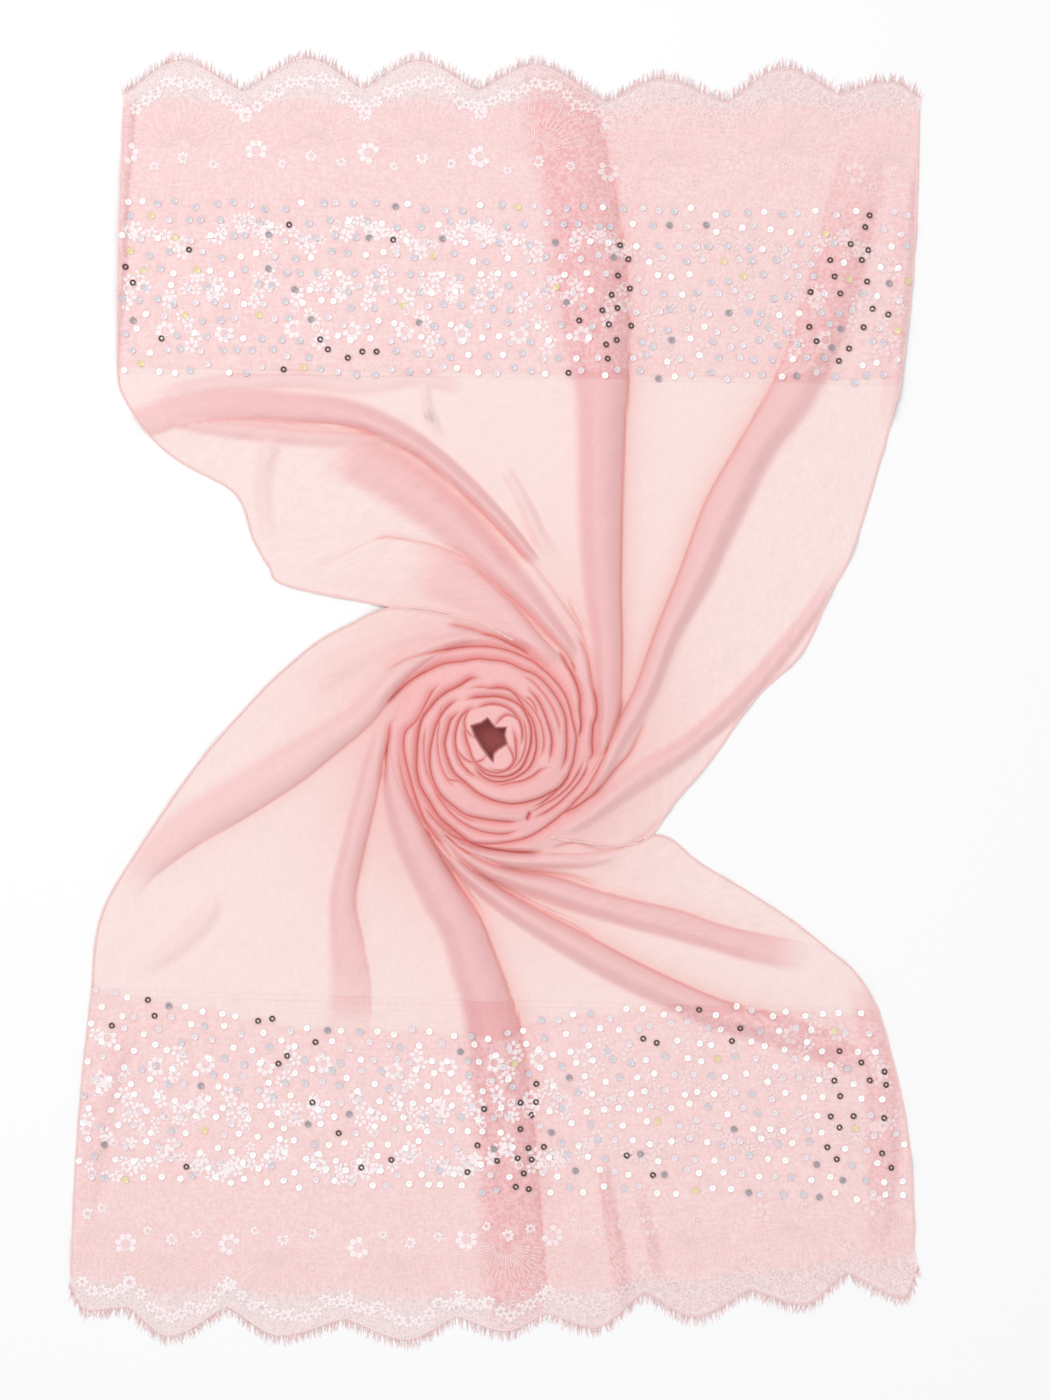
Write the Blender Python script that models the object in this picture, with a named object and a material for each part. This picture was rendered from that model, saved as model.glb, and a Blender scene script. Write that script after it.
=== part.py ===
"""A stole of thin voile laid flat, its middle wound into a rosette, with a lace border at each end.

The tables are in millimetres: +X to the right of the laid stole, +Y towards its upper end, +Z up
from the surface that it lies on. The objects are in metres.
"""

import math
from collections import namedtuple

import bpy
from mathutils import Vector

MM = 0.001
UP = Vector((0.0, 0.0, 1.0))

# The tables' own zero, seen from the middle of the laid stole
TABLE_ZERO = Vector((-1.6, 1.95, 0.0))

# Cloth and seams
VOILE_WALL = 1.4
HEM_EXTRA = 0.8
LACE_WALL = 1.0
SEAM_GAP = 0.4
PARTING_HALF_GAP = 0.6
RIM_GAP = 0.9

# Rosette
ROSETTE_CENTRE = Vector((2.5, -38.5, 0.0))
ROSETTE_RADIUS = 88.0
ROSETTE_STATIONS = 72
RIM_LEVEL = 10.0
RIM_FALL = 30.0
PIT_RADIUS = 13.0
PIT_DEPTH_LEVEL = 9.0

# Rows of points along each field, from the rim to the lace and from the lace to the straight end
FAN_ROWS = 12
BAND_ROWS = 4
UPRIGHT_ROWS = 5
FAN_CROWDING = 1.2
WOUND_SHARE = 0.7
LINE_CROWDING = 0.3
CURVE_STEPS = 24

# Overhang of the lace past the voile, and its eyelash edge
OVERHANG_START = 1.6
OVERHANG_ROWS = ((0.0, 1.0), (0.5, 0.12), (1.0, 0.0))
LASH_LENGTH = 8.0
LASH_SPACING = 7.2
LASH_WIDTH = 1.0
LASH_SWAY = 14.0
STRIP_DEPTH = 1.5
STRIP_BOTTOM = 0.25
STRIP_TOP = 1.15
TIP_LEVEL = 0.45

# One row for each line that the cloth is laid along, clockwise round the rosette, from hem to hem.
# rim: degrees on the rosette's rim. way: points from the rim outwards. outer: its end on the edge of
# the lace. pace: how late its points come, above 1 for a line that sweeps round. heights: of its
# fold at the rim, middle, lace and straight end. spread: half width of the fold on the side of the
# line before and the line after. steps: panels up to the next line. end_x: where it meets the end.
Line = namedtuple("Line", "name rim way outer pace heights spread steps end_x")

UPPER_LINES = (
    Line("left_hem", 80, ((-15, 63), (-53, 70), (-101, 78), (-171, 93), (-184, 108), (-197, 131),
                          (-205, 157), (-218, 173), (-258, 195), (-283, 217), (-304, 249)),
         (-308, 267), 1.45, (0, 0, 0, 0), (9, 9), 3, -303),
    Line("notch_facet", 45, ((43, 54), (16, 80), (-24, 115), (-88, 134), (-158, 132), (-186, 150),
                             (-206, 178), (-252, 203), (-279, 225), (-298, 251)),
         (-302, 267), 1.55, (6, 9, 0, 0), (14, 30), 3, -297),
    Line("left_sweep", 32, ((76, 42), (50, 82), (-7, 148), (-77, 210), (-205, 232), (-268, 243)),
         (-290, 267), 1.8, (6, 15, 2, 0), (15, 17), 2, -285),
    Line("sweep_foot", 25, ((84, 42), (62, 84), (10, 146), (-70, 226), (-190, 250)),
         (-262, 266), 1.8, (0, 0, 0, 0), (10, 10), 17, -258),
    Line("tall_pleat", -5, ((103, -2), (101, 45), (100, 110), (97, 180)), (92, 261), 0.85,
         (7, 18, 13, 6), (30, 9), 9, 60),
    Line("right_sweep", -36, ((112, -44), (128, 5), (164, 90), (207, 182)), (252, 258), 0.95,
         (6, 15, 9, 2), (17, 12), 4, 303),
    Line("right_foot", -45, ((118, -50), (140, -10), (178, 45), (240, 125)), (312, 257), 1.1,
         (0, 0, 0, 0), (10, 10), 2, 331),
    Line("right_wing", -52, ((92, -98), (124, -52), (152, -20), (215, 40), (243, 86), (287, 125),
                             (300, 160), (315, 212)),
         (327, 257), 1.2, (5, 9, 0, 0), (12, 14), 3, 343),
    Line("right_hem", -60, ((64, -117), (107, -121), (129, -113), (149, -85), (180, -49),
                            (214, -1), (253, 37), (276, 85), (292, 114), (306, 156), (321, 208)),
         (334, 257), 1.3, (0, 0, 0, 0), (9, 9), 0, 349),
)

LOWER_LINES = (
    Line("right_hem", -60, ((64, -117), (107, -121), (129, -113), (146, -116), (169, -135),
                            (212, -161), (247, -184), (277, -208), (295, -223), (309, -243)),
         (316, -256), 1.6, (0, 0, 0, 0), (9, 9), 4, 345),
    Line("low_wing", -104, ((20, -146), (88, -169), (139, -186), (195, -200), (260, -214),
                            (290, -236)),
         (304, -256), 1.8, (6, 10, 2, 0), (13, 14), 3, 335),
    Line("wing_foot", -113, ((10, -153), (84, -185), (140, -208), (215, -234)), (270, -254), 1.9,
         (0, 0, 0, 0), (10, 10), 4, 305),
    Line("low_sweep", -128, ((-36, -132), (22, -162), (84, -197), (140, -228)), (197, -252), 1.9,
         (6, 13, 9, 3), (12, 15), 9, 250),
    Line("low_pleat", -170, ((-82, -94), (-62, -134), (-34, -178), (-14, -220)), (-3, -248), 0.85,
         (7, 17, 13, 6), (16, 20), 7, 18),
    Line("short_fold", 163, ((-97, -45), (-110, -92), (-122, -150), (-128, -200)), (-133, -244),
         0.95, (6, 11, 4, 0), (13, 16), 8, -138),
    Line("broad_sweep", 112, ((-62, 34), (-110, -14), (-162, -50), (-230, -112)), (-288, -240),
         1.1, (6, 12, 6, 0), (24, 24), 2, -300),
    Line("wing_middle", 96, ((-40, 55), (-112, 30), (-178, -24), (-261, -118)), (-312, -239),
         1.2, (0, 0, 0, 0), (10, 10), 2, -326),
    Line("left_hem", 80, ((-15, 62), (-53, 68), (-96, 66), (-144, 46), (-176, 19), (-197, -2),
                          (-243, -55), (-290, -123), (-317, -168), (-326, -200)),
         (-329, -239), 1.35, (0, 0, 0, 0), (9, 9), 0, -346),
)

# The voile's straight ends, left to right, and how far the band's sides bow out
UPPER_END = ((-303, 483), (20, 482), (349, 481))
LOWER_END = ((-346, -474), (6, -488), (345, -452))
UPPER_BOWS = (-1, 4)
LOWER_BOWS = (-3, 9)

# Scallops of the lace edge, left to right: a row for each valley and the peak after it
Scallop = namedtuple("Scallop", "valley_x valley_y peak_x peak_y")
UPPER_SCALLOPS = (
    Scallop(-304, 496, -257, 523), Scallop(-205, 498, -152, 525), Scallop(-107, 500, -61, 523),
    Scallop(-12, 499, 34, 520), Scallop(93, 489, 137, 508), Scallop(191, 489, 238, 517),
    Scallop(284, 496, 326, 506), Scallop(352, 492, 352, 492),
)
LOWER_SCALLOPS = (
    Scallop(-348, -482, -334, -503), Scallop(-300, -500, -266, -524),
    Scallop(-218, -500, -175, -524), Scallop(-122, -510, -71, -527),
    Scallop(-30, -508, 10, -520), Scallop(44, -505, 83, -517), Scallop(124, -488, 165, -508),
    Scallop(211, -486, 254, -498), Scallop(290, -472, 338, -492), Scallop(349, -466, 349, -466),
)

# Ring folds of the rosette, from the rim inwards: radius and height of the crest, how far the ring
# lies off the centre and towards which angle, the angle where it dives under its neighbour and by
# how much
Ring = namedtuple("Ring", "radius crest off off_angle dive_angle dive")
RINGS = (
    Ring(78, 19.0, 3.5, 215, 250, 4.0),
    Ring(66, 24.0, 4.0, 100, 130, 5.0),
    Ring(54.5, 27.5, 4.0, 340, 10, 5.0),
    Ring(43, 30.0, 3.5, 210, 245, 5.0),
    Ring(32, 31.0, 3.0, 85, 120, 4.5),
    Ring(21, 30.0, 2.0, 320, 350, 3.5),
)
GROOVE_SHARE = 0.6
GROOVE_DEPTH = 7.0
PIT_WALL_DROP = 9.0
PIT_FLOOR_SHARE = 0.6
RIM_STEP = 3.0

# Finishes: colour, roughness, metallic
VOILE_FINISH = ((0.90, 0.56, 0.55), 0.82, 0.0)
WOUND_FINISH = ((0.87, 0.45, 0.45), 0.82, 0.0)
LACE_FINISH = ((0.93, 0.66, 0.64), 0.75, 0.0)
FRINGE_FINISH = ((0.95, 0.74, 0.72), 0.78, 0.0)


def clear_scene():
    """Empties the file's scene."""
    for item in list(bpy.data.objects):
        bpy.data.objects.remove(item, do_unlink=True)


def smooth(value):
    """Eases a share from 0 to 1, flat at both ends."""
    value = min(max(value, 0.0), 1.0)
    return value * value * (3.0 - 2.0 * value)


def curve(points, steps=CURVE_STEPS):
    """A smooth run of points through the given ones."""
    given = [Vector((x, y, 0.0)) for x, y in points]
    padded = [2 * given[0] - given[1], *given, 2 * given[-1] - given[-2]]
    run = []
    for before, start, end, after in zip(padded, padded[1:], padded[2:], padded[3:]):
        for step in range(steps):
            share = step / steps
            bend = (2 * before - 5 * start + 4 * end - after) * share ** 2
            twist = (3 * start - before - 3 * end + after) * share ** 3
            run.append(0.5 * (2 * start + (end - before) * share + bend + twist))
    return run + [given[-1]]


class Path:
    """A run of points that can be read at any share of its length."""

    def __init__(self, run):
        self.run = run
        self.reach = [0.0]
        for start, end in zip(run, run[1:]):
            self.reach.append(self.reach[-1] + (end - start).length)

    def at(self, share):
        return self.at_length(share * self.reach[-1])

    def at_length(self, length):
        for index, (low, high) in enumerate(zip(self.reach, self.reach[1:])):
            if length <= high or index == len(self.reach) - 2:
                inner = (length - low) / max(high - low, 1e-9)
                return self.run[index].lerp(self.run[index + 1], min(max(inner, 0.0), 1.0))


def rim_point(degrees, radius=ROSETTE_RADIUS + RIM_GAP):
    """A point on the rosette's rim."""
    angle = math.radians(degrees)
    return ROSETTE_CENTRE + radius * Vector((math.cos(angle), math.sin(angle), 0.0))


def wound(first, second, share):
    """A point between two others, round the rosette's centre."""
    turns = [math.atan2(way.y, way.x) for way in (first - ROSETTE_CENTRE, second - ROSETTE_CENTRE)]
    turn = (turns[1] - turns[0] + math.pi) % (2 * math.pi) - math.pi
    reach = (first - ROSETTE_CENTRE).length * (1 - share) + (
        second - ROSETTE_CENTRE).length * share
    return rim_point(math.degrees(turns[0] + share * turn), reach)


def rim_rise(point):
    """How high the cloth lies where it climbs towards the rosette."""
    away = (Vector((point.x, point.y, 0.0)) - ROSETTE_CENTRE).length - ROSETTE_RADIUS
    rise = RIM_LEVEL * math.exp(-away / RIM_FALL)
    return rise if rise > 0.25 else 0.0


def end_point(end, x):
    """The point of a straight end at x."""
    left, middle, right = end
    low, high = (left, middle) if x < middle[0] else (middle, right)
    share = (x - low[0]) / (high[0] - low[0])
    return Vector((x, low[1] + share * (high[1] - low[1]), 0.0))


def height_at(line, along):
    """Height of a line's fold, along from 0 at the rim over 1 at the lace to 2 at the end."""
    rim, middle, lace, end = line.heights
    if along < 0.5:
        return rim + (middle - rim) * smooth(along / 0.5)
    if along < 1.0:
        return middle + (lace - middle) * smooth((along - 0.5) / 0.5)
    return lace + (end - lace) * smooth(along - 1.0)


def spread_at(width, along):
    """Half width of a fold, narrower where the cloth is gathered at the rim."""
    return width * (0.4 + 0.6 * smooth(along / 0.35))


def fold_lift(line_a, line_b, share, gap, along):
    """Lift of the cloth at a share of the way between two lines."""
    lifts = []
    for line, side, away in ((line_a, 1, share * gap), (line_b, 0, (1 - share) * gap)):
        reach = away / spread_at(line.spread[side], along)
        lifts.append(height_at(line, along) * (1.0 - smooth(reach)))
    return max(lifts)


def crowded(step, steps):
    """Share of a step, crowded towards both lines, where the folds are."""
    even = step / steps
    return even + LINE_CROWDING * (0.5 - 0.5 * math.cos(math.pi * even) - even)


class Field:
    """Columns of points on the underside of one laid stretch of voile."""

    def __init__(self, lines, end, bows):
        self.lines = lines
        self.end = end
        self.bows = bows
        self.paths = [Path(self.line_run(line)) for line in lines]
        self.columns = []
        for index, line in enumerate(lines[:-1]):
            for step in range(line.steps):
                self.columns.append(self.column(index, crowded(step, line.steps)))
        self.columns.append(self.column(len(lines) - 2, 1.0))
        self.part_from_other(0, 1)
        self.part_from_other(-1, -2)

    @staticmethod
    def line_run(line):
        start = rim_point(line.rim)
        return curve(((start.x, start.y), *line.way, line.outer))

    def pair_at(self, index, along):
        """The points of two neighbouring lines that lie across from each other."""
        return [self.paths[place].at(along ** self.lines[place].pace)
                for place in (index, index + 1)]

    def fan_point(self, index, share, along):
        """A point between two lines, wound round the rosette near its rim."""
        first, second = self.pair_at(index, along)
        point = wound(first, second, share).lerp(
            first.lerp(second, share), smooth(along / WOUND_SHARE))
        point.z = rim_rise(point) + fold_lift(
            self.lines[index], self.lines[index + 1], share, (first - second).length, along)
        return point

    def column(self, index, share):
        """The rows of one column, from the rim to the straight end."""
        points = []
        for row in range(FAN_ROWS + 1):
            points.append(self.fan_point(index, share, (row / FAN_ROWS) ** FAN_CROWDING))
        line_a, line_b = self.lines[index:index + 2]
        start = Vector((points[-1].x, points[-1].y, 0.0))
        finish = end_point(self.end, line_a.end_x + share * (line_b.end_x - line_a.end_x))
        bow = self.bows[0] + place_share(finish.x, self.end) * (self.bows[1] - self.bows[0])
        gap_start = (Vector(line_a.outer) - Vector(line_b.outer)).length
        gap_end = abs(line_b.end_x - line_a.end_x)
        for row in range(1, BAND_ROWS + 1):
            part = row / BAND_ROWS
            point = start.lerp(finish, part)
            point.x += bow * math.sin(math.pi * part)
            gap = gap_start + part * (gap_end - gap_start)
            point.z = fold_lift(line_a, line_b, share, gap, 1 + part)
            points.append(point)
        return points

    def part_from_other(self, edge, inner):
        """Moves an edge inwards, so that the two fields stay apart where they meet."""
        column, neighbour = self.columns[edge], self.columns[inner]
        moved = []
        for row, point in enumerate(column):
            along = column[min(row + 1, len(column) - 1)] - column[max(row - 1, 0)]
            square = Vector((-along.y, along.x, 0.0)).normalized()
            inwards = square if square.dot(neighbour[row] - point) > 0 else -square
            moved.append(point + inwards * PARTING_HALF_GAP)
        self.columns[edge] = moved

    def normal(self, left, row):
        """Upward normal of the laid cloth, straight up along its edges."""
        columns = self.columns
        if left in (0, len(columns) - 1) or row in (0, len(columns[left]) - 1):
            return UP
        across = columns[left + 1][row] - columns[left - 1][row]
        outwards = columns[left][row + 1] - columns[left][row - 1]
        normal = across.cross(outwards).normalized()
        normal = normal if normal.z > 0 else -normal
        return UP.lerp(normal, smooth(row / UPRIGHT_ROWS)).normalized()

    def wall_at(self, left):
        """Thickness of the voile, more along the rolled side hems."""
        on_hem = left in (0, len(self.columns) - 1)
        return VOILE_WALL + (HEM_EXTRA if on_hem else 0.0)


def grid_faces(columns, first_row, last_row):
    """Triangles between neighbouring columns, all split the same way, facing down."""
    faces = []
    for left in range(columns - 1):
        for row in range(first_row, last_row):
            here, across = (left, row), (left + 1, row)
            beyond, outwards = (left + 1, row + 1), (left, row + 1)
            faces.append((here, beyond, across))
            faces.append((here, outwards, beyond))
    return faces


def sheet_solid(name, under, over, faces, finish):
    """Closes two matching layers of points into one solid, and shades it smooth."""
    keys = sorted(under)
    number = {key: place for place, key in enumerate(keys)}
    count = len(keys)
    vertices = [under[key] for key in keys] + [over[key] for key in keys]
    used = {}
    solid_faces = []
    for face in faces:
        low = [number[key] for key in face]
        solid_faces.append(tuple(low))
        solid_faces.append(tuple(index + count for index in reversed(low)))
        for start, end in zip(low, low[1:] + low[:1]):
            used[(start, end)] = True
    for start, end in used:
        if (end, start) not in used:
            solid_faces.append((end, start, start + count))
            solid_faces.append((end, start + count, end + count))
    return make_object(name, vertices, solid_faces, finish)


def make_object(name, vertices, faces, finish):
    """One named object with its own material."""
    colour, roughness, metallic = finish
    material = bpy.data.materials.new(name + "_finish")
    material.use_nodes = True
    shader = material.node_tree.nodes["Principled BSDF"]
    shader.inputs["Base Color"].default_value = (*colour, 1.0)
    shader.inputs["Roughness"].default_value = roughness
    shader.inputs["Metallic"].default_value = metallic
    mesh = bpy.data.meshes.new(name)
    placed = [tuple((vertex + TABLE_ZERO) * MM) for vertex in vertices]
    mesh.from_pydata(placed, [], faces)
    mesh.materials.append(material)
    mesh.validate()
    mesh.shade_smooth()
    mesh.set_sharp_from_angle(angle=math.radians(40))
    piece = bpy.data.objects.new(name, mesh)
    bpy.context.scene.collection.objects.link(piece)
    return piece


def build_field(name, field):
    """The voile wall of one stretch."""
    under, over = {}, {}
    for left, column in enumerate(field.columns):
        for row, point in enumerate(column):
            under[(left, row)] = point
            over[(left, row)] = point + field.normal(left, row) * field.wall_at(left)
    faces = grid_faces(len(field.columns), 0, FAN_ROWS + BAND_ROWS)
    sheet_solid(name, under, over, faces, VOILE_FINISH)


def scallop_edge(scallops, x):
    """The scalloped edge of the lace at x, round at the peaks and pointed in the valleys."""
    for here, after in zip(scallops, scallops[1:]):
        if x <= after.valley_x or after is scallops[-1]:
            break
    if x < here.peak_x:
        share = (x - here.valley_x) / (here.peak_x - here.valley_x)
        base, rise = here.valley_y, here.peak_y - here.valley_y
    else:
        share = (after.valley_x - x) / (after.valley_x - here.peak_x)
        base, rise = after.valley_y, here.peak_y - after.valley_y
    return base + rise * math.sin(0.5 * math.pi * min(max(share, 0.0), 1.0))


def place_share(x, end):
    """Share of the way along a straight end."""
    return (x - end[0][0]) / (end[-1][0] - end[0][0])


def overhang(last, level, rim):
    """Points of a lace column past the voile, down to the surface at the scallops."""
    side = math.copysign(1.0, last.y)
    start = Vector((last.x, last.y + side * OVERHANG_START, 0.0))
    points = []
    for share, lift in OVERHANG_ROWS:
        point = start.lerp(rim, share)
        point.z = last.z * (1 - smooth(share)) + level * lift
        points.append(point)
    return points


def build_lace(name, field, scallops):
    """One lace border over its band and past it to the scallops. Returns the edge's points."""
    under, over, edge = {}, {}, []
    for left, column in enumerate(field.columns):
        level = field.wall_at(left) + SEAM_GAP
        for row in range(FAN_ROWS, FAN_ROWS + BAND_ROWS + 1):
            normal = field.normal(left, row)
            under[(left, row)] = column[row] + normal * level
            over[(left, row)] = column[row] + normal * (level + LACE_WALL)
        across = place_share(column[-1].x, field.end)
        x = scallops[0].valley_x + across * (scallops[-1].valley_x - scallops[0].valley_x)
        rim = Vector((x, scallop_edge(scallops, x), 0.0))
        edge.append(rim)
        for step, point in enumerate(overhang(column[-1], level, rim)):
            row = FAN_ROWS + BAND_ROWS + 1 + step
            under[(left, row)] = point
            over[(left, row)] = point + UP * LACE_WALL
    last_row = FAN_ROWS + BAND_ROWS + len(OVERHANG_ROWS)
    faces = grid_faces(len(edge), FAN_ROWS, last_row)
    sheet_solid(name, under, over, faces, LACE_FINISH)
    return edge


def offset_run(edge, side, distance):
    """The edge's points moved outwards, square to the edge."""
    moved = []
    for place, point in enumerate(edge):
        before = edge[max(place - 1, 0)]
        after = edge[min(place + 1, len(edge) - 1)]
        along = (after - before).normalized()
        square = Vector((-along.y, along.x, 0.0))
        square = square if square.y * side > 0 else -square
        moved.append(point + square * distance)
    return moved


def build_fringe(name, edge, side):
    """The eyelash edge: a thin strip just outside the lace, each lash drawn out from its face."""
    if edge[0].x > edge[-1].x:
        edge = edge[::-1]
    inner = offset_run(edge, side, SEAM_GAP)
    outer = offset_run(edge, side, SEAM_GAP + STRIP_DEPTH)
    stations, lashes = [], set()
    for place in range(len(edge) - 1):
        length = (outer[place + 1] - outer[place]).length
        count = max(1, round(length / LASH_SPACING))
        shares = [0.0]
        for lash in range(count):
            middle = (lash + 0.5) / count
            half = 0.5 * LASH_WIDTH / length
            lashes.add(len(stations) + len(shares))
            shares += [middle - half, middle + half]
        for share in shares:
            stations.append((inner[place].lerp(inner[place + 1], share),
                             outer[place].lerp(outer[place + 1], share)))
    stations.append((inner[-1], outer[-1]))
    vertices = []
    for root, rim in stations:
        vertices.append(root + UP * 0.5 * (STRIP_BOTTOM + STRIP_TOP))
        vertices.append(rim + UP * STRIP_BOTTOM)
        vertices.append(rim + UP * STRIP_TOP)
    faces = [(0, 1, 2)]
    for place in range(len(stations) - 1):
        root, low, high = 3 * place, 3 * place + 1, 3 * place + 2
        next_root, next_low, next_high = root + 3, low + 3, high + 3
        faces += [(root, next_root, next_low, low), (root, high, next_high, next_root)]
        if place in lashes:
            tip = len(vertices)
            vertices.append(lash_tip(stations[place], stations[place + 1], side, place))
            faces += [(low, next_low, tip), (next_low, next_high, tip), (next_high, high, tip),
                      (high, low, tip)]
        else:
            faces.append((low, next_low, next_high, high))
    last = 3 * (len(stations) - 1)
    faces.append((last, last + 2, last + 1))
    if side < 0:
        faces = [tuple(reversed(face)) for face in faces]
    faces = [tuple(reversed(face)) for face in faces]
    make_object(name, vertices, faces, FRINGE_FINISH)
    return len(lashes)


def lash_tip(station, next_station, side, place):
    """Where a lash ends: outwards, half square to the scallop, each a little its own way."""
    root = 0.5 * (station[1] + next_station[1])
    square = (station[1] - station[0]).normalized()
    lean = math.radians(LASH_SWAY * math.sin(2.4 * place))
    straight = Vector((math.sin(lean), side * math.cos(lean), 0.0))
    way = (0.45 * square + 0.55 * straight).normalized()
    length = LASH_LENGTH * (0.86 + 0.14 * math.sin(1.7 * place))
    tip = root + way * length
    tip.z = TIP_LEVEL
    return tip


def ring_at(ring, angle):
    """Radius and crest height of a ring fold at an angle."""
    radius = ring.radius + ring.off * math.cos(angle - math.radians(ring.off_angle))
    dive = 0.5 + 0.5 * math.cos(angle - math.radians(ring.dive_angle))
    return radius, ring.crest - ring.dive * dive ** 3


def rosette_profile(angle):
    """Radius and height of each row of the rosette at an angle, from the rim to the pit."""
    rows = [(ROSETTE_RADIUS, 0.0), (ROSETTE_RADIUS, RIM_LEVEL + RIM_STEP)]
    crests = [ring_at(ring, angle) for ring in RINGS]
    for place, (radius, crest) in enumerate(crests):
        rows.append((radius, crest))
        if place + 1 < len(crests):
            inner_radius, inner_crest = crests[place + 1]
            groove = radius + GROOVE_SHARE * (inner_radius - radius)
            rows.append((groove, min(crest, inner_crest) - GROOVE_DEPTH))
    rows.append((PIT_RADIUS, RINGS[-1].crest - PIT_WALL_DROP))
    rows.append((PIT_FLOOR_SHARE * PIT_RADIUS, PIT_DEPTH_LEVEL))
    return rows


def build_rosette():
    """The wound middle: a rounded solid with ring folds round a pit and a flat underside."""
    vertices, faces = [], []
    for station in range(ROSETTE_STATIONS):
        angle = 2 * math.pi * station / ROSETTE_STATIONS
        rows = rosette_profile(angle)
        for radius, height in rows:
            vertices.append(rim_point(math.degrees(angle), radius) + UP * height)
    depth = len(rows)
    bottom, pit = len(vertices), len(vertices) + 1
    vertices += [ROSETTE_CENTRE, ROSETTE_CENTRE + UP * PIT_DEPTH_LEVEL]
    for station in range(ROSETTE_STATIONS):
        here = station * depth
        after = (station + 1) % ROSETTE_STATIONS * depth
        faces.append((bottom, after, here))
        faces.append((here + depth - 1, after + depth - 1, pit))
        for row in range(depth - 1):
            faces.append((here + row, after + row, after + row + 1))
            faces.append((here + row, after + row + 1, here + row + 1))
    make_object("rosette", vertices, faces, WOUND_FINISH)


def main():
    clear_scene()
    build_rosette()
    upper = Field(UPPER_LINES, UPPER_END, UPPER_BOWS)
    lower = Field(LOWER_LINES, LOWER_END, LOWER_BOWS)
    build_field("upper_field", upper)
    build_field("lower_field", lower)
    upper_edge = build_lace("upper_lace", upper, UPPER_SCALLOPS)
    lower_edge = build_lace("lower_lace", lower, LOWER_SCALLOPS)
    lashes = build_fringe("upper_fringe", upper_edge, 1.0)
    lashes += build_fringe("lower_fringe", lower_edge, -1.0)
    print("lashes", lashes)


main()
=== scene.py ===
# %% [markdown]
# # A voile stole laid flat, its middle wound into a rosette
# One long panel of thin pink voile was laid out on a white table. Both ends were spread to their full
# width, and the middle was turned clockwise between the fingers until it wound up into a rosette.
# A lace border with sequins is sewn over each end. This script dresses the plain solids of the CAD
# model with cloth, lace and light, one sewn piece after the other.

import math
from collections import namedtuple

import bpy
import numpy as np
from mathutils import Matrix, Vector


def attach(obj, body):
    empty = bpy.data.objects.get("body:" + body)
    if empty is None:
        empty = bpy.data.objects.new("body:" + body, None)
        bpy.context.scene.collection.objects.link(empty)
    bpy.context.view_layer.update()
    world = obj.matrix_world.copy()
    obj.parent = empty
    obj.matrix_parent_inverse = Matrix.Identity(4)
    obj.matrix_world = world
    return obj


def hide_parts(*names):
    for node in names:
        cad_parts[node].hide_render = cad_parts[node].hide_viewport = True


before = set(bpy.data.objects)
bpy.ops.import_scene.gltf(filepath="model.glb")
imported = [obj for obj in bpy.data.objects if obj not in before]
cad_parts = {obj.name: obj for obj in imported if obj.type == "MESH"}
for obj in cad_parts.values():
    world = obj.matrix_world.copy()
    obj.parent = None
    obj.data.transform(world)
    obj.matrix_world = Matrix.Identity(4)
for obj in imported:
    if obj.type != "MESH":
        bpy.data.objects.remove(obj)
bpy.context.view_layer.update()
print("solids to dress:", ", ".join(sorted(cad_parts)))

# %% [markdown]
# ## Where the cloth is laid
# Every place is first said in millimetres on the table, with x to the right and y towards the upper
# end. Blender works in metres, and its zero is the middle of the laid stole, so one small helper turns
# table places into Blender places. The tables of lines are the same that the solids were made from,
# which keeps the look on top of its collision shape.

# %% Units and the tables of lines
MM = 0.001
TABLE_ZERO = np.array((-1.6, 1.95, 0.0))
ROSETTE = np.array((2.5, -38.5))
ROSETTE_RADIUS = 88.0


def to_blender(points):
    """Table millimetres to metres in the model's frame."""
    return (np.asarray(points, dtype=float) + TABLE_ZERO) * MM


# rim: degrees on the rosette's rim. way and outer: points from the rim to the edge of the lace.
# pace: how late its points come. steps: share of the columns up to the next line. end_x: its place
# on the straight end.
Line = namedtuple("Line", "name rim way outer pace steps end_x")

UPPER_LINES = (
    Line("left_hem", 80, ((-15, 63), (-53, 70), (-101, 78), (-171, 93), (-184, 108), (-197, 131),
                          (-205, 157), (-218, 173), (-258, 195), (-283, 217), (-304, 249)),
         (-308, 267), 1.45, 4, -303),
    Line("notch_facet", 45, ((43, 54), (16, 80), (-24, 115), (-88, 134), (-158, 132), (-186, 150),
                             (-206, 178), (-252, 203), (-279, 225), (-298, 251)),
         (-302, 267), 1.55, 4, -297),
    Line("left_sweep", 32, ((76, 42), (50, 82), (-7, 148), (-77, 210), (-205, 232), (-268, 243)),
         (-290, 267), 1.8, 3, -285),
    Line("sweep_foot", 25, ((84, 42), (62, 84), (10, 146), (-70, 226), (-190, 250)),
         (-262, 266), 1.8, 17, -258),
    Line("tall_pleat", -5, ((103, -2), (101, 45), (100, 110), (97, 180)), (92, 261), 0.85, 9, 60),
    Line("right_sweep", -36, ((112, -44), (128, 5), (164, 90), (207, 182)), (252, 258), 0.95,
         4, 303),
    Line("right_foot", -45, ((118, -50), (140, -10), (178, 45), (240, 125)), (312, 257), 1.1,
         2, 331),
    Line("right_wing", -52, ((92, -98), (124, -52), (152, -20), (215, 40), (243, 86), (287, 125),
                             (300, 160), (315, 212)), (327, 257), 1.2, 3, 343),
    Line("right_hem", -60, ((64, -117), (107, -121), (129, -113), (149, -85), (180, -49),
                            (214, -1), (253, 37), (276, 85), (292, 114), (306, 156), (321, 208)),
         (334, 257), 1.3, 0, 349),
)

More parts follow.
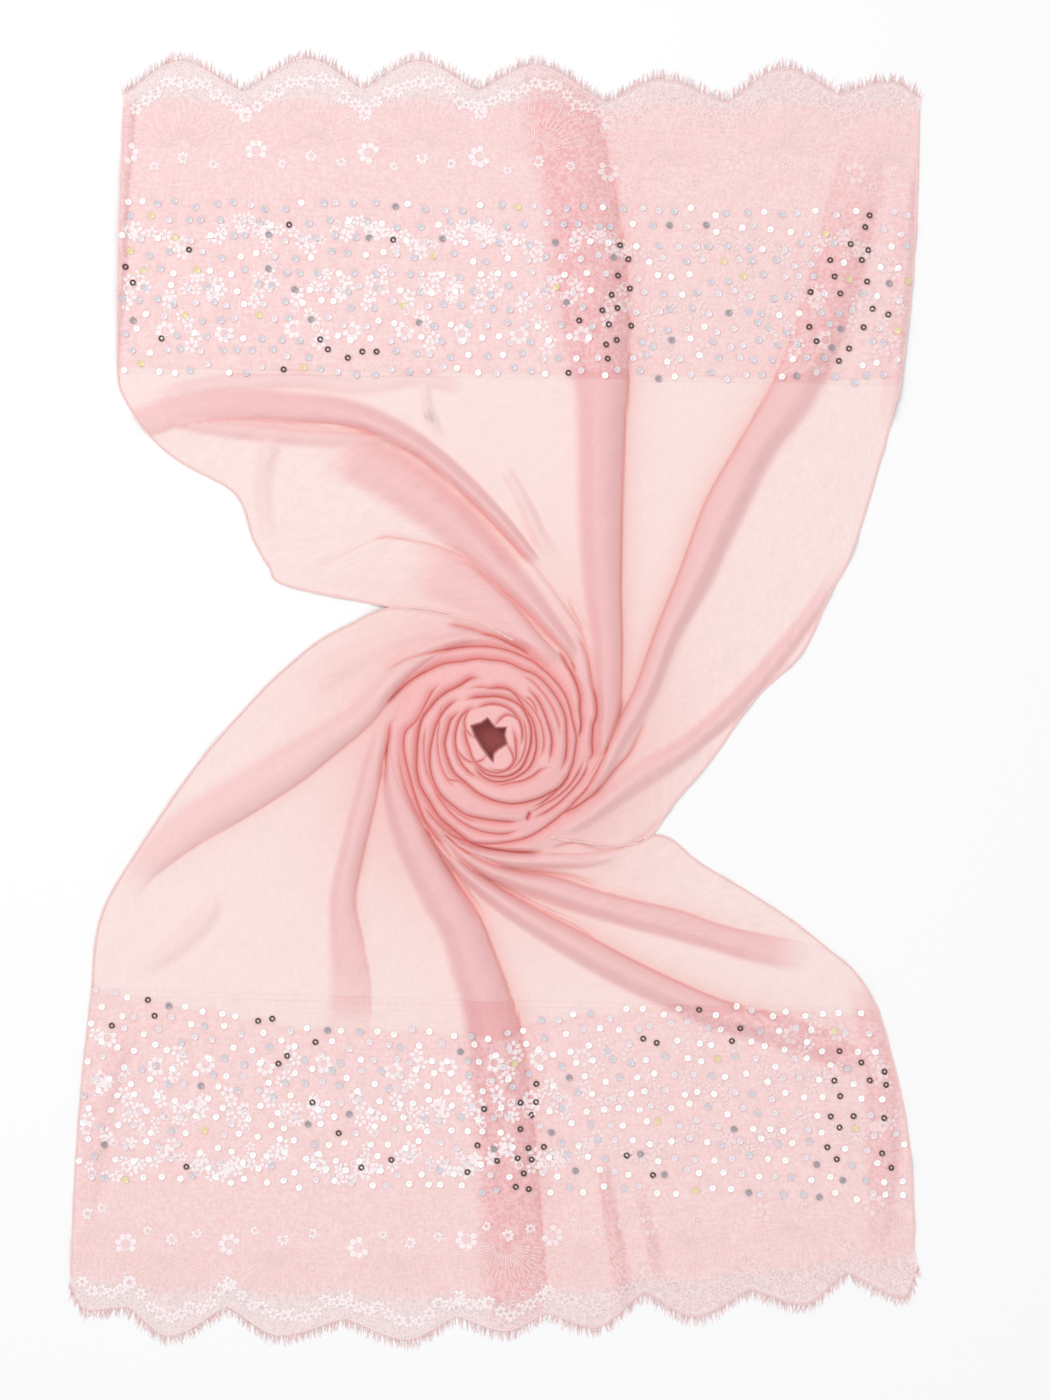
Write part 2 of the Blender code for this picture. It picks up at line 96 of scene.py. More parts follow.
LOWER_LINES = (
    Line("right_hem", -60, ((64, -117), (107, -121), (129, -113), (146, -116), (169, -135),
                            (212, -161), (247, -184), (277, -208), (295, -223), (309, -243)),
         (316, -256), 1.6, 5, 345),
    Line("low_wing", -104, ((20, -146), (88, -169), (139, -186), (195, -200), (260, -214),
                            (290, -236)), (304, -256), 1.8, 3, 335),
    Line("wing_foot", -113, ((10, -153), (84, -185), (140, -208), (215, -234)), (270, -254), 1.9,
         4, 305),
    Line("low_sweep", -128, ((-36, -132), (22, -162), (84, -197), (140, -228)), (197, -252), 1.9,
         9, 250),
    Line("low_pleat", -170, ((-82, -94), (-62, -134), (-34, -178), (-14, -220)), (-3, -248), 0.85,
         7, 18),
    Line("short_fold", 163, ((-97, -45), (-110, -92), (-122, -150), (-128, -200)), (-133, -244),
         0.95, 8, -138),
    Line("broad_sweep", 112, ((-62, 34), (-110, -14), (-162, -50), (-230, -112)), (-288, -240),
         1.1, 3, -300),
    Line("wing_middle", 96, ((-40, 55), (-112, 30), (-178, -24), (-261, -118)), (-312, -239),
         1.2, 3, -326),
    Line("left_hem", 80, ((-15, 63), (-53, 72.5), (-88, 73), (-118, 60), (-144, 46), (-176, 19),
                          (-197, -2), (-243, -55), (-290, -123), (-317, -168), (-326, -200)),
         (-329, -239), 1.35, 0, -346),
)

# The voile's straight ends from left to right, and how far the band's sides bow out
UPPER_END = ((-303, 483), (20, 482), (349, 481))
LOWER_END = ((-346, -474), (6, -488), (345, -452))
UPPER_BOWS = (-1, 4)
LOWER_BOWS = (-3, 9)

# %% [markdown]
# ## Folds, creases and grooves
# Cloth that is gathered towards one point keeps its extra width in folds. A fold is a ridge with a
# soft side, where the cloth rises slowly, and often a sharp side, where it turns over and drops. Each
# fold below is one short table along its crest, and each crease is a narrow V between two layers.
# They were placed against the photo, uneven as they are there.

# %% The fold and crease tables
# Each point of a fold: x, y, half width on its left, half width on its right, height of the crest.
# Left and right are seen looking along the fold, away from the rosette. tint: how deep its pink is.
Fold = namedtuple("Fold", "name left_side right_side tint points")
# A crease has one depth and one half width, and its points are x and y.
Crease = namedtuple("Crease", "name depth width points")
FOLDS = (
    Fold("tall_pleat", "soft", "sharp", 1.0, (
        (90, -59, 7, 8, 3), (93, -18, 8, 11, 6), (92, 39, 12, 14, 11), (88, 89, 17, 17, 14),
        (86, 152, 19, 20, 17), (86, 220, 20, 22, 18), (86, 261, 24, 25, 17), (78, 326, 33, 34, 14),
        (69, 408, 31, 32, 10), (58, 466, 34, 31, 7), (52, 505, 33, 30, 5), (48, 545, 30, 28, 4))),
    Fold("left_sweep_upper", "sharp", "soft", 0.95, (
        (39, 107, 5, 5, 9), (10, 142, 7, 7, 11), (-23, 175, 7, 10, 12), (-56, 203, 7, 11, 12),
        (-89, 221, 8, 14, 11), (-125, 234, 10, 15, 9), (-166, 238, 12, 16, 7),
        (-207, 241, 13, 17, 6), (-246, 238, 13, 16, 5), (-288, 226, 12, 15, 4),
        (-330, 210, 12, 14, 3))),
    Fold("left_sweep_lower", "soft", "soft", 0.9, (
        (67, 27, 6, 5, 6), (61, 41, 9, 8, 9), (44, 63, 12, 11, 11), (25, 85, 15, 15, 12),
        (2, 109, 18, 18, 12), (-26, 138, 21, 21, 11), (-57, 164, 25, 24, 9), (-97, 190, 25, 25, 6),
        (-150, 208, 20, 20, 3))),
    Fold("facet", "soft", "sharp", 0.8, (
        (55, 25, 7, 6, 6), (30, 48, 12, 9, 8), (6, 71, 17, 13, 8), (-19, 87, 22, 19, 7),
        (-52, 103, 26, 20, 5), (-84, 108, 24, 22, 3))),
    Fold("right_sweep", "sharp", "soft", 0.85, (
        (67, -89, 5, 5, 3), (88, -63, 7, 7, 6), (106, -30, 9, 9, 8), (125, 3, 10, 10, 11),
        (144, 52, 11, 11, 14), (165, 96, 14, 16, 15), (191, 154, 18, 18, 15), (217, 204, 16, 18, 13),
        (252, 257, 21, 21, 10), (280, 326, 25, 23, 7), (301, 408, 25, 21, 3.6), (311, 474, 23, 20, 2))),
    Fold("right_wing", "soft", "soft", 0.8, (
        (55, -112, 5, 7, 4), (80, -96, 8, 8, 6), (100, -80, 11, 11, 8), (125, -61, 14, 14, 9),
        (162, -37, 11, 11, 9), (198, -6, 11, 11, 8), (235, 35, 10, 10, 6), (268, 80, 8, 8, 4),
        (293, 121, 7, 7, 2))),
    Fold("low_pleat", "sharp", "soft", 1.0, (
        (-88, -39, 10, 7, 4), (-82, -75, 11, 10, 8), (-70, -112, 15, 15, 11), (-47, -157, 18, 18, 14),
        (-30, -186, 20, 18, 16), (-19, -215, 21, 20, 17), (-9, -248, 23, 20, 17),
        (-1, -285, 26, 23, 15), (6, -346, 26, 25, 11), (14, -412, 25, 28, 8), (18, -485, 25, 28, 5),
        (20, -545, 24, 27, 4))),
    Fold("low_sweep", "sharp", "soft", 0.9, (
        (-48, -116, 5, 4, 5), (-23, -143, 7, 7, 9), (6, -166, 9, 10, 12), (39, -187, 11, 12, 13),
        (71, -205, 12, 14, 13), (104, -223, 12, 15, 12), (141, -241, 12, 15, 11),
        (186, -260, 12, 15, 10), (235, -274, 13, 15, 8), (276, -289, 13, 15, 6),
        (321, -313, 11, 13, 2))),
    Fold("low_wing", "sharp", "soft", 0.9, (
        (-56, -96, 4, 4, 4), (-19, -131, 7, 7, 7), (14, -147, 7, 10, 9), (47, -157, 11, 13, 10),
        (80, -168, 11, 13, 10), (114, -178, 12, 13, 9), (149, -187, 13, 13, 8),
        (184, -198, 12, 12, 7), (219, -207, 13, 13, 5), (268, -218, 15, 13, 3))),
    Fold("seam_fold", "sharp", "soft", 0.8, (
        (-43, -115, 3, 3, 4), (-15, -126, 5, 5, 5), (14, -133, 7, 6, 6), (43, -134, 7, 7, 6),
        (75, -134, 7, 7, 5), (100, -129, 5, 5, 4), (114, -123, 3, 3, 2))),
    Fold("short_fold", "sharp", "soft", 0.8, (
        (-89, -22, 7, 7, 4), (-99, -51, 10, 8, 7), (-107, -84, 11, 10, 9), (-117, -125, 11, 10, 11),
        (-125, -166, 12, 11, 9), (-122, -205, 16, 14, 6), (-119, -246, 19, 17, 4),
        (-123, -289, 18, 17, 2))),
    Fold("broad_sweep", "sharp", "soft", 0.62, (
        (-11, 52, 4, 5, 5), (-43, 45, 7, 8, 7), (-76, 23, 9, 10, 9), (-108, -13, 11, 14, 11),
        (-137, -34, 14, 17, 12), (-165, -53, 17, 20, 12), (-195, -73, 17, 21, 11),
        (-223, -90, 17, 21, 10), (-249, -106, 16, 20, 8), (-271, -125, 13, 17, 6),
        (-290, -147, 9, 12, 4), (-303, -174, 8, 9, 2))),
    Fold("notch_fold", "soft", "soft", 0.35, (
        (-178, 225, 12, 10, 3), (-186, 195, 11, 10, 4), (-189, 173, 10, 9, 4),
        (-187, 147, 10, 9, 3), (-180, 112, 9, 9, 2))),
    Fold("left_top_fold", "soft", "soft", 0.65, (
        (-20, 252, 8, 8, 3), (-60, 262, 9, 9, 3), (-110, 256, 10, 9, 3), (-160, 262, 11, 9, 4),
        (-215, 258, 11, 10, 4), (-262, 250, 10, 10, 4), (-292, 232, 9, 9, 3))),
    Fold("left_low_fold", "soft", "soft", 0.6, (
        (-60, 215, 8, 8, 4), (-105, 212, 9, 9, 5), (-150, 214, 10, 10, 5), (-200, 219, 10, 10, 5),
        (-250, 226, 9, 9, 4), (-285, 236, 8, 8, 2))),
    Fold("wing_root", "soft", "soft", 0.42, (
        (-40, 58, 8, 8, 3), (-75, 50, 12, 12, 4), (-110, 36, 16, 15, 4), (-140, 18, 18, 17, 4),
        (-170, 0, 18, 16, 2))),
    Fold("left_ripple", "soft", "soft", 0.28, (
        (-228, -152, 9, 9, 2), (-235, -179, 12, 12, 4), (-260, -204, 13, 13, 4),
        (-300, -232, 11, 11, 3))),
    Fold("short_rise", "soft", "soft", 0.3, (
        (-57, 268, 6, 6, 4), (-52, 234, 6, 6, 4), (-35, 195, 6, 6, 2))),
    Fold("pleat_side", "soft", "soft", 0.35, (
        (5, 195, 7, 7, 3), (22, 167, 8, 8, 4), (40, 129, 9, 9, 5), (60, 104, 8, 8, 5))),
    Fold("right_low_fold", "soft", "soft", 0.75, (
        (296, -225, 10, 10, 2), (308, -262, 12, 13, 4), (318, -310, 15, 15, 5),
        (320, -370, 17, 15, 5), (318, -430, 13, 12, 3), (316, -480, 11, 10, 2))),
    Fold("upper_left_roll", "soft", "soft", 0.7, (
        (-296, 505, 6, 6, 3), (-300, 460, 7, 7, 4), (-304, 400, 7, 7, 4), (-306, 345, 7, 6, 4),
        (-309, 290, 6, 5, 3), (-312, 250, 5, 5, 2))),
    Fold("upper_right_fold", "soft", "soft", 0.4, (
        (322, 215, 9, 7, 3), (330, 262, 12, 9, 5), (336, 330, 13, 9, 6), (340, 400, 12, 8, 4),
        (344, 460, 10, 7, 2))),
    Fold("small_pleat_a", "soft", "soft", 0.75, (
        (88, -372, 5, 5, 2), (95, -415, 7, 7, 5), (103, -460, 8, 8, 5), (109, -500, 9, 9, 4),
        (112, -530, 9, 9, 3))),
    Fold("small_pleat_b", "soft", "soft", 0.6, (
        (118, -395, 5, 5, 2), (126, -430, 6, 6, 4), (133, -465, 7, 7, 4), (138, -500, 7, 7, 3))),
    Fold("left_band_fold", "soft", "soft", 0.3, (
        (-296, -260, 12, 12, 3), (-310, -300, 14, 12, 4), (-322, -350, 13, 12, 4),
        (-330, -400, 11, 11, 3), (-336, -450, 10, 10, 2))),
)

CREASES = (
    Crease("outer_ring", 7, 5, (
        (-93, -10), (-85, -2), (-76, 7), (-65, 16), (-52, 23), (-40, 28), (-25, 30), (-12, 32),
        (-2, 31), (8, 30), (17, 27), (25, 23), (33, 20), (40, 15), (48, 6), (54, -3), (59, -15),
        (60, -28), (60, -41), (58, -53), (54, -63))),
    Crease("rim_top", 6, 5, (
        (-93, 21), (-80, 27), (-68, 33), (-51, 37), (-37, 40), (-22, 42), (-5, 42), (8, 40),
        (20, 36), (33, 30), (39, 25), (48, 17), (57, 6), (62, -5), (65, -18), (68, -31), (67, -44),
        (64, -57), (58, -68), (49, -78), (39, -86), (28, -91))),
    Crease("dive_top", 8, 5, ((-43, 62), (-17, 56), (-5, 52), (5, 49), (15, 44), (23, 40),
                              (30, 35), (35, 28))),
    Crease("pleat_root", 7, 5, ((67, 57), (72, 47), (77, 36), (79, 26), (81, 13), (84, 0),
                                (85, -13), (82, -23), (81, -36), (81, -47), (74, -56))),
    Crease("rim_right", 7, 4, ((52, 44), (58, 31), (64, 21), (68, 12), (71, 1), (71, -10),
                               (72, -20), (71, -28), (67, -41))),
    Crease("rim_left", 7, 5, ((-79, -14), (-84, -22), (-85, -31), (-87, -43), (-88, -59),
                              (-89, -78))),
    Crease("long_ring", 9, 5, (
        (-5, 16), (-17, 16), (-27, 10), (-37, 5), (-45, -1), (-51, -8), (-58, -18), (-61, -32),
        (-62, -47), (-62, -59), (-59, -72), (-52, -84), (-44, -97), (-32, -108), (-17, -119),
        (1, -124), (20, -126), (45, -127))),
    Crease("left_ring", 6, 5, (
        (-41, 15), (-49, 6), (-55, -5), (-63, -19), (-71, -27), (-73, -37), (-72, -48),
        (-69, -61), (-65, -76), (-60, -91), (-55, -102), (-45, -116), (-36, -128), (-27, -137))),
    Crease("middle_ring", 7, 4.5, (
        (-22, 0), (-30, -2), (-39, -10), (-46, -22), (-49, -33), (-51, -44), (-51, -57),
        (-48, -68), (-42, -79), (-32, -88), (-22, -95), (-10, -98), (3, -100), (18, -101),
        (27, -100))),
    Crease("inner_ring", 7, 4, (
        (-27, -3), (-17, 0), (-5, 1), (5, 1), (15, -2), (23, -7), (28, -15), (31, -25), (31, -36),
        (28, -47), (23, -57), (14, -63), (5, -64), (-5, -62), (-12, -56), (-19, -48))),
    Crease("petal_ring", 7, 4.5, (
        (-22, -8), (-27, -11), (-34, -18), (-37, -28), (-39, -38), (-36, -51), (-31, -61),
        (-22, -69), (-11, -78), (3, -84), (18, -86), (33, -83), (43, -79), (55, -72), (62, -62),
        (64, -49))),
    Crease("pit_ring", 5, 3.5, (
        (-19, -14), (-22, -22), (-22, -31), (-19, -41), (-15, -51), (-7, -58), (3, -61),
        (12, -58), (18, -51), (19, -41), (18, -31), (15, -20))),
    Crease("low_inner", 6, 4, (
        (-17, -49), (-11, -61), (-2, -67), (8, -68), (20, -64), (30, -56), (35, -43), (35, -31),
        (32, -18), (25, -7), (18, 3), (10, 8), (0, 8), (-12, 5))),
    Crease("right_petal", 6, 4, ((28, 13), (31, 6), (38, -4), (44, -18), (48, -33), (47, -47),
                                 (46, -57))),
    Crease("white_facet", 5, 4, ((50, -57), (40, -58), (33, -63), (25, -67), (15, -69), (3, -71),
                                 (-5, -69))),
    Crease("tab_side", 5, 4, ((27, -96), (40, -88), (52, -81), (63, -71), (72, -57), (76, -48))),
    Crease("tab_end", 7, 4, ((31, -91), (29, -95), (27, -101))),
    Crease("upper_long", 4, 4, (
        (-203, 228), (-173, 225), (-132, 222), (-114, 221), (-101, 218), (-84, 207), (-66, 195),
        (-48, 184), (-30, 171), (-13, 155), (5, 138), (20, 122), (33, 109), (47, 92), (60, 74),
        (71, 57), (77, 41), (81, 31))),
    Crease("facet_top", 6, 5, (
        (-105, 128), (-88, 132), (-71, 130), (-48, 125), (-30, 118), (-17, 109), (-4, 98), (11, 85),
        (25, 72), (38, 59), (51, 46), (64, 31), (69, 13))),
    Crease("pleat_left", 7, 5, ((60, 84), (67, 69), (72, 59), (75, 47))),
    Crease("pleat_right", 5, 5, ((107, 7), (104, -11), (98, -29), (91, -47), (83, -63), (73, -79),
                                 (58, -89))),
    Crease("sweep_right", 6, 5, ((127, -14), (121, -27), (112, -45), (100, -58), (91, -69),
                                 (84, -77), (68, -89), (47, -98))),
    Crease("hem_right", 4, 4, ((142, -95), (125, -111), (110, -121), (95, -125), (83, -123),
                               (68, -118), (55, -121), (44, -126))),
    Crease("low_gap", 7, 5, ((-58, -98), (-49, -118), (-33, -141), (-21, -160), (-7, -184))),
    Crease("low_up", 6, 5, ((-35, -127), (-12, -144), (8, -155), (31, -169), (50, -178),
                            (68, -187), (91, -201))),
    Crease("facet_edge", 2, 5, ((-150, 105), (-136, 111), (-114, 122), (-89, 134))),
    Crease("ring_left_2", 4, 3.5, ((-37, 2), (-42, -8), (-44, -22), (-45, -35), (-43, -52),
                                   (-37, -66), (-28, -77))),
    Crease("ring_left_3", 4, 3.5, ((-54, -18), (-56, -32), (-56, -48), (-53, -63), (-46, -76),
                                   (-36, -88), (-22, -98), (-6, -104))),
    Crease("ring_low_1", 5, 4, ((-52, -68), (-43, -83), (-30, -98), (-12, -108), (8, -111),
                                (25, -107))),
    Crease("ring_low_2", 5, 4, ((-60, -84), (-48, -99), (-32, -113), (-12, -119), (10, -118),
                                (30, -113), (50, -100), (68, -84), (85, -63))),
    Crease("ring_right_1", 4, 3.5, ((20, 22), (34, 12), (46, -3), (53, -18), (56, -34))),
    Crease("ring_right_2", 4, 3.5, ((30, -90), (46, -82), (58, -70), (66, -55))),
    Crease("ring_right_3", 5, 4, ((30, -100), (48, -90), (62, -78), (74, -63), (80, -48))),
    Crease("ring_inner_2", 4, 3, ((22, -10), (26, -22), (27, -36), (23, -50), (14, -58),
                                  (2, -59), (-8, -54))),
    Crease("ring_top_2", 4, 3.5, ((-25, 6), (-14, 9), (0, 8), (14, 6), (26, -2), (36, -14),
                                  (41, -28), (41, -42), (36, -54))),
    Crease("tuck_1", 4, 2.5, ((0, -28), (3, -21), (11, -14), (20, -17), (26, -27))),
    Crease("tuck_2", 4, 2.5, ((6, -33), (13, -40), (17, -51), (10, -59), (-2, -63))),
    Crease("tuck_3", 4, 2.5, ((-8, -33), (-17, -31), (-23, -22), (-20, -11), (-10, -4))),
    Crease("tuck_4", 4, 2.5, ((-2, -42), (-8, -50), (-18, -52), (-27, -45), (-31, -34))),
    Crease("tuck_5", 4, 2.5, ((22, 2), (30, -1), (35, -8), (36, -18))),
    Crease("tuck_6", 4, 2.5, ((-40, -60), (-36, -66), (-27, -68), (-20, -74))),
    Crease("pit_side", 5, 3, ((-8, -7), (-18, -9), (-26, -16), (-30, -28), (-30, -40), (-26, -52),
                              (-17, -62), (-6, -67))),
    Crease("pit_top", 5, 3, ((-18, -12), (-10, -7), (0, -5), (10, -7), (18, -13), (23, -22),
                             (24, -33), (21, -44))),
    Crease("wing_up", 6, 5, ((-47, -104), (-26, -123), (-1, -136), (22, -141), (45, -144),
                             (68, -148), (91, -157))),
)
print("folds:", len(FOLDS), "creases:", len(CREASES))

# %% [markdown]
# ## Reading the tables
# A smooth curve through each table's points gives the run of a fold. For any place on the table we
# then need its nearest point on that run and the side it lies on, which is what `beside` works out
# for thousands of places at once.

# %% Smooth runs and distances beside them
FAR = 1e9
TINY = 1e-9


def smooth(share):
    """Eases a share from 0 to 1, flat at both ends."""
    share = np.clip(share, 0.0, 1.0)
    return share * share * (3.0 - 2.0 * share)


def run_through(points, steps=8):
    """A smooth run through the given points, with all their columns."""
    given = np.asarray(points, dtype=float)
    ends = np.vstack((2 * given[0] - given[1], given, 2 * given[-1] - given[-2]))
    share = np.linspace(0.0, 1.0, steps, endpoint=False)[:, None]
    parts = []
    for before, start, end, after in zip(ends, ends[1:], ends[2:], ends[3:]):
        bend = (2 * before - 5 * start + 4 * end - after) * share ** 2
        twist = (3 * start - before - 3 * end + after) * share ** 3
        parts.append(0.5 * (2 * start + (end - before) * share + bend + twist))
    return np.vstack(parts + [given[-1:]])


def reach_along(run):
    """Length from the start of a run to each of its points."""
    steps = np.hypot(*np.diff(run[:, :2], axis=0).T)
    return np.concatenate(([0.0], np.cumsum(steps)))


def places_at(run, lengths):
    """Plan places at the given lengths along a run."""
    reach = reach_along(run)
    return np.stack([np.interp(lengths, reach, run[:, column]) for column in (0, 1)], axis=-1)


def near_places(x, y, run, margin):
    """Numbers of the places that are near enough to a run to matter."""
    low = run[:, :2].min(axis=0) - margin
    high = run[:, :2].max(axis=0) + margin
    return np.flatnonzero((x > low[0]) & (x < high[0]) & (y > low[1]) & (y < high[1]))


def beside(x, y, run):
    """Distance to a run, positive on its left, and the length along it where it is nearest."""
    best = np.full(x.shape, FAR)
    side = np.ones(x.shape)
    along = np.zeros(x.shape)
    reach = reach_along(run)
    for place in range(len(run) - 1):
        start = run[place, :2]
        way = run[place + 1, :2] - start
        length = max(math.hypot(*way), TINY)
        across_x = x - start[0]
        across_y = y - start[1]
        share = np.clip((across_x * way[0] + across_y * way[1]) / length ** 2, 0.0, 1.0)
        gap = np.hypot(across_x - share * way[0], across_y - share * way[1])
        nearer = gap < best
        best[nearer] = gap[nearer]
        side[nearer] = np.sign(way[0] * across_y - way[1] * across_x)[nearer]
        along[nearer] = reach[place] + share[nearer] * length
    return best * side, along, reach


# %% [markdown]
# ## How high the cloth lies
# The cloth is flat on the table, climbs towards the rosette and is lifted along every fold. Creases
# cut in between. The same function also gives how many layers of the thin voile lie there, because
# one layer looks almost white on the table while folded layers turn a deep pink.

# %% The shape of a fold's side, the pit and slight waves
PIT_STAR = ((-19, -22), (-10, -19), (-4, -15), (1, -21), (3, -23), (12, -23), (11, -30), (13, -38),
            (5, -43), (2, -46), (1, -54), (-4, -49), (-10, -41), (-16, -31))


def fold_share(gap, width, kind):
    """Height share of a fold's side: soft sides ease down, sharp ones turn over like a roll."""
    reach = np.clip(gap / width, 0.0, 1.0)
    if kind == "soft":
        return 1.0 - smooth(reach)
    return (1.0 - reach ** 2.2) ** 0.8


def inside_star(x, y):
    """Depth inside the star-shaped pit, 0 outside it."""
    corners = np.asarray(PIT_STAR + PIT_STAR[:1], dtype=float)
    gap, _, _ = beside(x, y, corners)
    crossings = np.zeros(x.shape, dtype=int)
    for start, end in zip(corners, corners[1:]):
        spans = (start[1] > y) != (end[1] > y)
        if start[1] != end[1]:
            at = start[0] + (y - start[1]) / (end[1] - start[1]) * (end[0] - start[0])
            crossings += spans & (x < at)
    return np.where(crossings % 2 == 1, np.abs(gap), 0.0)


def ripples(x, y):
    """Slight waves of cloth that was smoothed out by hand: height, length, direction and start."""
    waves = ((0.45, 61, 20, 0.3), (0.4, 47, 75, 1.9), (0.3, 33, -40, 4.0), (0.22, 23, 130, 2.2),
             (0.16, 15, 55, 5.1))
    rise = np.zeros(x.shape)
    for height, length, degrees, start in waves:
        angle = math.radians(degrees)
        place = (x * math.cos(angle) + y * math.sin(angle)) / length
        rise += height * np.sin(2 * math.pi * place + start + np.sin(0.6 * place + start))
    return rise


# %% [markdown]
# Each fold lifts the cloth near it and adds layers there. Where its side is sharp, the cloth turns
# under, and a salmon colour is painted along that line and onto the cloth just beside it: painted
# shade and glow for the light between the two layers. A crease cuts down and gets the same painted
# salmon shade and glow, most inside the rosette, where cloth faces cloth. Folds are joined by taking
# the higher one, so their order doesn't matter.

# %% Raising the folds and cutting the creases
FOLD_MARGIN = 50
FOLD_START_FADE = 20
FOLD_END_FADE = 45
FULL_TINT_HEIGHT = 6.0
CUT_SHARE = 0.85
CREASE_END = 16.0


def raise_folds(x, y, lift, layers, painted_shade_and_glow):
    """Lifts the cloth along every fold, adds its layers and paints salmon shade and glow where it turns
    under.
    """
    for fold in FOLDS:
        run = run_through(fold.points, 14)
        near = near_places(x, y, run, FOLD_MARGIN)
        gap, along, reach = beside(x[near], y[near], run)
        left, right, crest = [np.interp(along, reach, run[:, column]) for column in (2, 3, 4)]
        end_fade = smooth(along / FOLD_START_FADE) * smooth((reach[-1] - along) / FOLD_END_FADE)
        on_left = gap >= 0
        gap = np.abs(gap)
        width = np.where(on_left, left, right)
        shares = np.where(on_left, fold_share(gap, width, fold.left_side),
                          fold_share(gap, width, fold.right_side))
        lift[near] = np.maximum(lift[near], crest * shares * np.maximum(end_fade, 0.05))
        sharp = np.where(on_left, fold.left_side == "sharp", fold.right_side == "sharp")
        past = gap - width
        edge = np.where(sharp, 1.0 - smooth(past / 1.5), 1.0 - smooth((gap / width - 0.55) / 0.6))
        strength = fold.tint * smooth(crest / FULL_TINT_HEIGHT) * end_fade
        layers[near] = np.maximum(layers[near], strength * edge)
        # Painted salmon shade and glow beside a sharp side: a thin line at its edge and a band fading
        # onto the cloth.
        line = np.exp(-(past / 1.6) ** 2)
        painted_edge_glow = np.where(past > 0, 0.36 * np.exp(-np.maximum(past, 0) / 10.0), 0.0)
        painted_edge_glow = np.where(sharp, np.maximum(0.6 * line, painted_edge_glow), 0.0)
        painted_shade_and_glow[near] = np.maximum(painted_shade_and_glow[near], strength * painted_edge_glow * smooth(crest / 13.0))


def cut_creases(x, y, away, cut, painted_shade_and_glow):
    """Cuts a narrow V along every crease, with painted salmon shade and glow in it."""
    for crease in CREASES:
        run = run_through(crease.points, 6)
        near = near_places(x, y, run, 3 * crease.width)
        gap, along, reach = beside(x[near], y[near], run)
        gap = np.abs(gap)
        end = min(CREASE_END, reach[-1] / 3)
        fade = smooth(along / end) * smooth((reach[-1] - along) / end)
        outer = away[near] + ROSETTE_RADIUS > np.interp(along, reach, np.hypot(*(run - ROSETTE).T))
        share = np.clip(1.0 - gap / (np.where(outer, 1.5, 0.8) * crease.width), 0.0, 1.0)
        cut[near] = np.maximum(cut[near], CUT_SHARE * crease.depth * fade * share ** 1.6)
        # Painted salmon shade and glow in the crease: a thin line and a wider band beside it.
        line = np.exp(-(gap / np.where(away[near] < 0, 0.9, 1.5)) ** 2)
        shade = np.where(outer, 0.42 * np.clip(1.0 - gap / (2.2 * crease.width), 0.0, 1.0) ** 1.5,
                         0.3 * np.clip(1.0 - gap / (0.6 * crease.width), 0.0, 1.0))
        strength = fade * min(crease.depth / 5.5, 1.0) * np.where(away[near] < 4, 1.0, 0.55)
        painted_shade_and_glow[near] = np.maximum(painted_shade_and_glow[near], strength * np.maximum(line, shade))


# %% [markdown]
# The dome of the rosette, the folds, the creases and the pit come together in one function. Everything
# that lies on the cloth asks it for its height, so hems, lace and sequins follow every fold.

# %% The lay of the cloth
RIM_LEVEL = 12.0
RIM_FALL = 30.0
DOME_RISE = 17.0
DOME_REACH = 50.0
# Height of cloth that lies flat on the table
REST_LEVEL = 0.5
PIT_LEVEL = 9.0
PIT_WALL = 3.0
RIM_LAYERS = 0.95
# Painted peach shade on the cloth near the rosette's rim: its strength and how fast it fades.
PAINTED_ROOT_SHADE = 0.42
PAINTED_ROOT_SHADE_FALL = 44.0
# Painted dark shade in the pit: its crease value, which past 1 turns the colour to the pit colour.
PAINTED_PIT_SHADE_STRENGTH = 1.8


def lay(x, y):
    """Height, layers and painted crease shade and glow of the cloth at table places."""
    shape = np.shape(x)
    x = np.asarray(x, dtype=float).ravel()
    y = np.asarray(y, dtype=float).ravel()
    away = np.hypot(x - ROSETTE[0], y - ROSETTE[1]) - ROSETTE_RADIUS
    past_rim = np.maximum(away, 0)
    base = np.where(away > 0, RIM_LEVEL * np.exp(-past_rim / RIM_FALL),
                    RIM_LEVEL + DOME_RISE * smooth(-away / DOME_REACH))
    layers = RIM_LAYERS * np.exp(-past_rim / RIM_FALL)
    lift, cut, painted_shade_and_glow = np.zeros((3, *x.shape))
    raise_folds(x, y, lift, layers, painted_shade_and_glow)
    cut_creases(x, y, away, cut, painted_shade_and_glow)
    wall = smooth(inside_star(x, y) / PIT_WALL)
    height = np.maximum(base + lift - cut, REST_LEVEL)
    height = height + (PIT_LEVEL - height) * wall
    height += ripples(x, y) * smooth(away / 80 + 0.2)
    # Painted peach shade near the rim, on the single layer only.
    root = PAINTED_ROOT_SHADE * np.exp(-past_rim / PAINTED_ROOT_SHADE_FALL) * (1.0 - np.clip(layers, 0.0, 1.0))
    # The pit takes the painted dark shade.
    painted_shade_and_glow = np.maximum(np.maximum(painted_shade_and_glow, root * (away > 0)), PAINTED_PIT_SHADE_STRENGTH * wall)
    return (np.maximum(height, REST_LEVEL).reshape(shape), layers.reshape(shape),
            painted_shade_and_glow.reshape(shape))


def height_at(plan):
    """Height of the cloth at plan places."""
    return lay(plan[:, 0], plan[:, 1])[0]


# %% [markdown]
# ## Meshes from grids of points
# Cloth is easiest as a grid: columns run with the length of the panel and rows run across it. Every
# sheet in this file is such a grid, turned into a mesh in one go, with its own cloth coordinates as
# UVs, so that threads follow the cloth and not the table.

# %% Mesh helpers
def grid_faces(rows, columns):
    """Quads of a grid of rows x columns points."""
    corner = np.arange((rows - 1) * columns).reshape(rows - 1, columns)[:, :-1].ravel()
    return np.stack((corner, corner + 1, corner + columns + 1, corner + columns), axis=1)


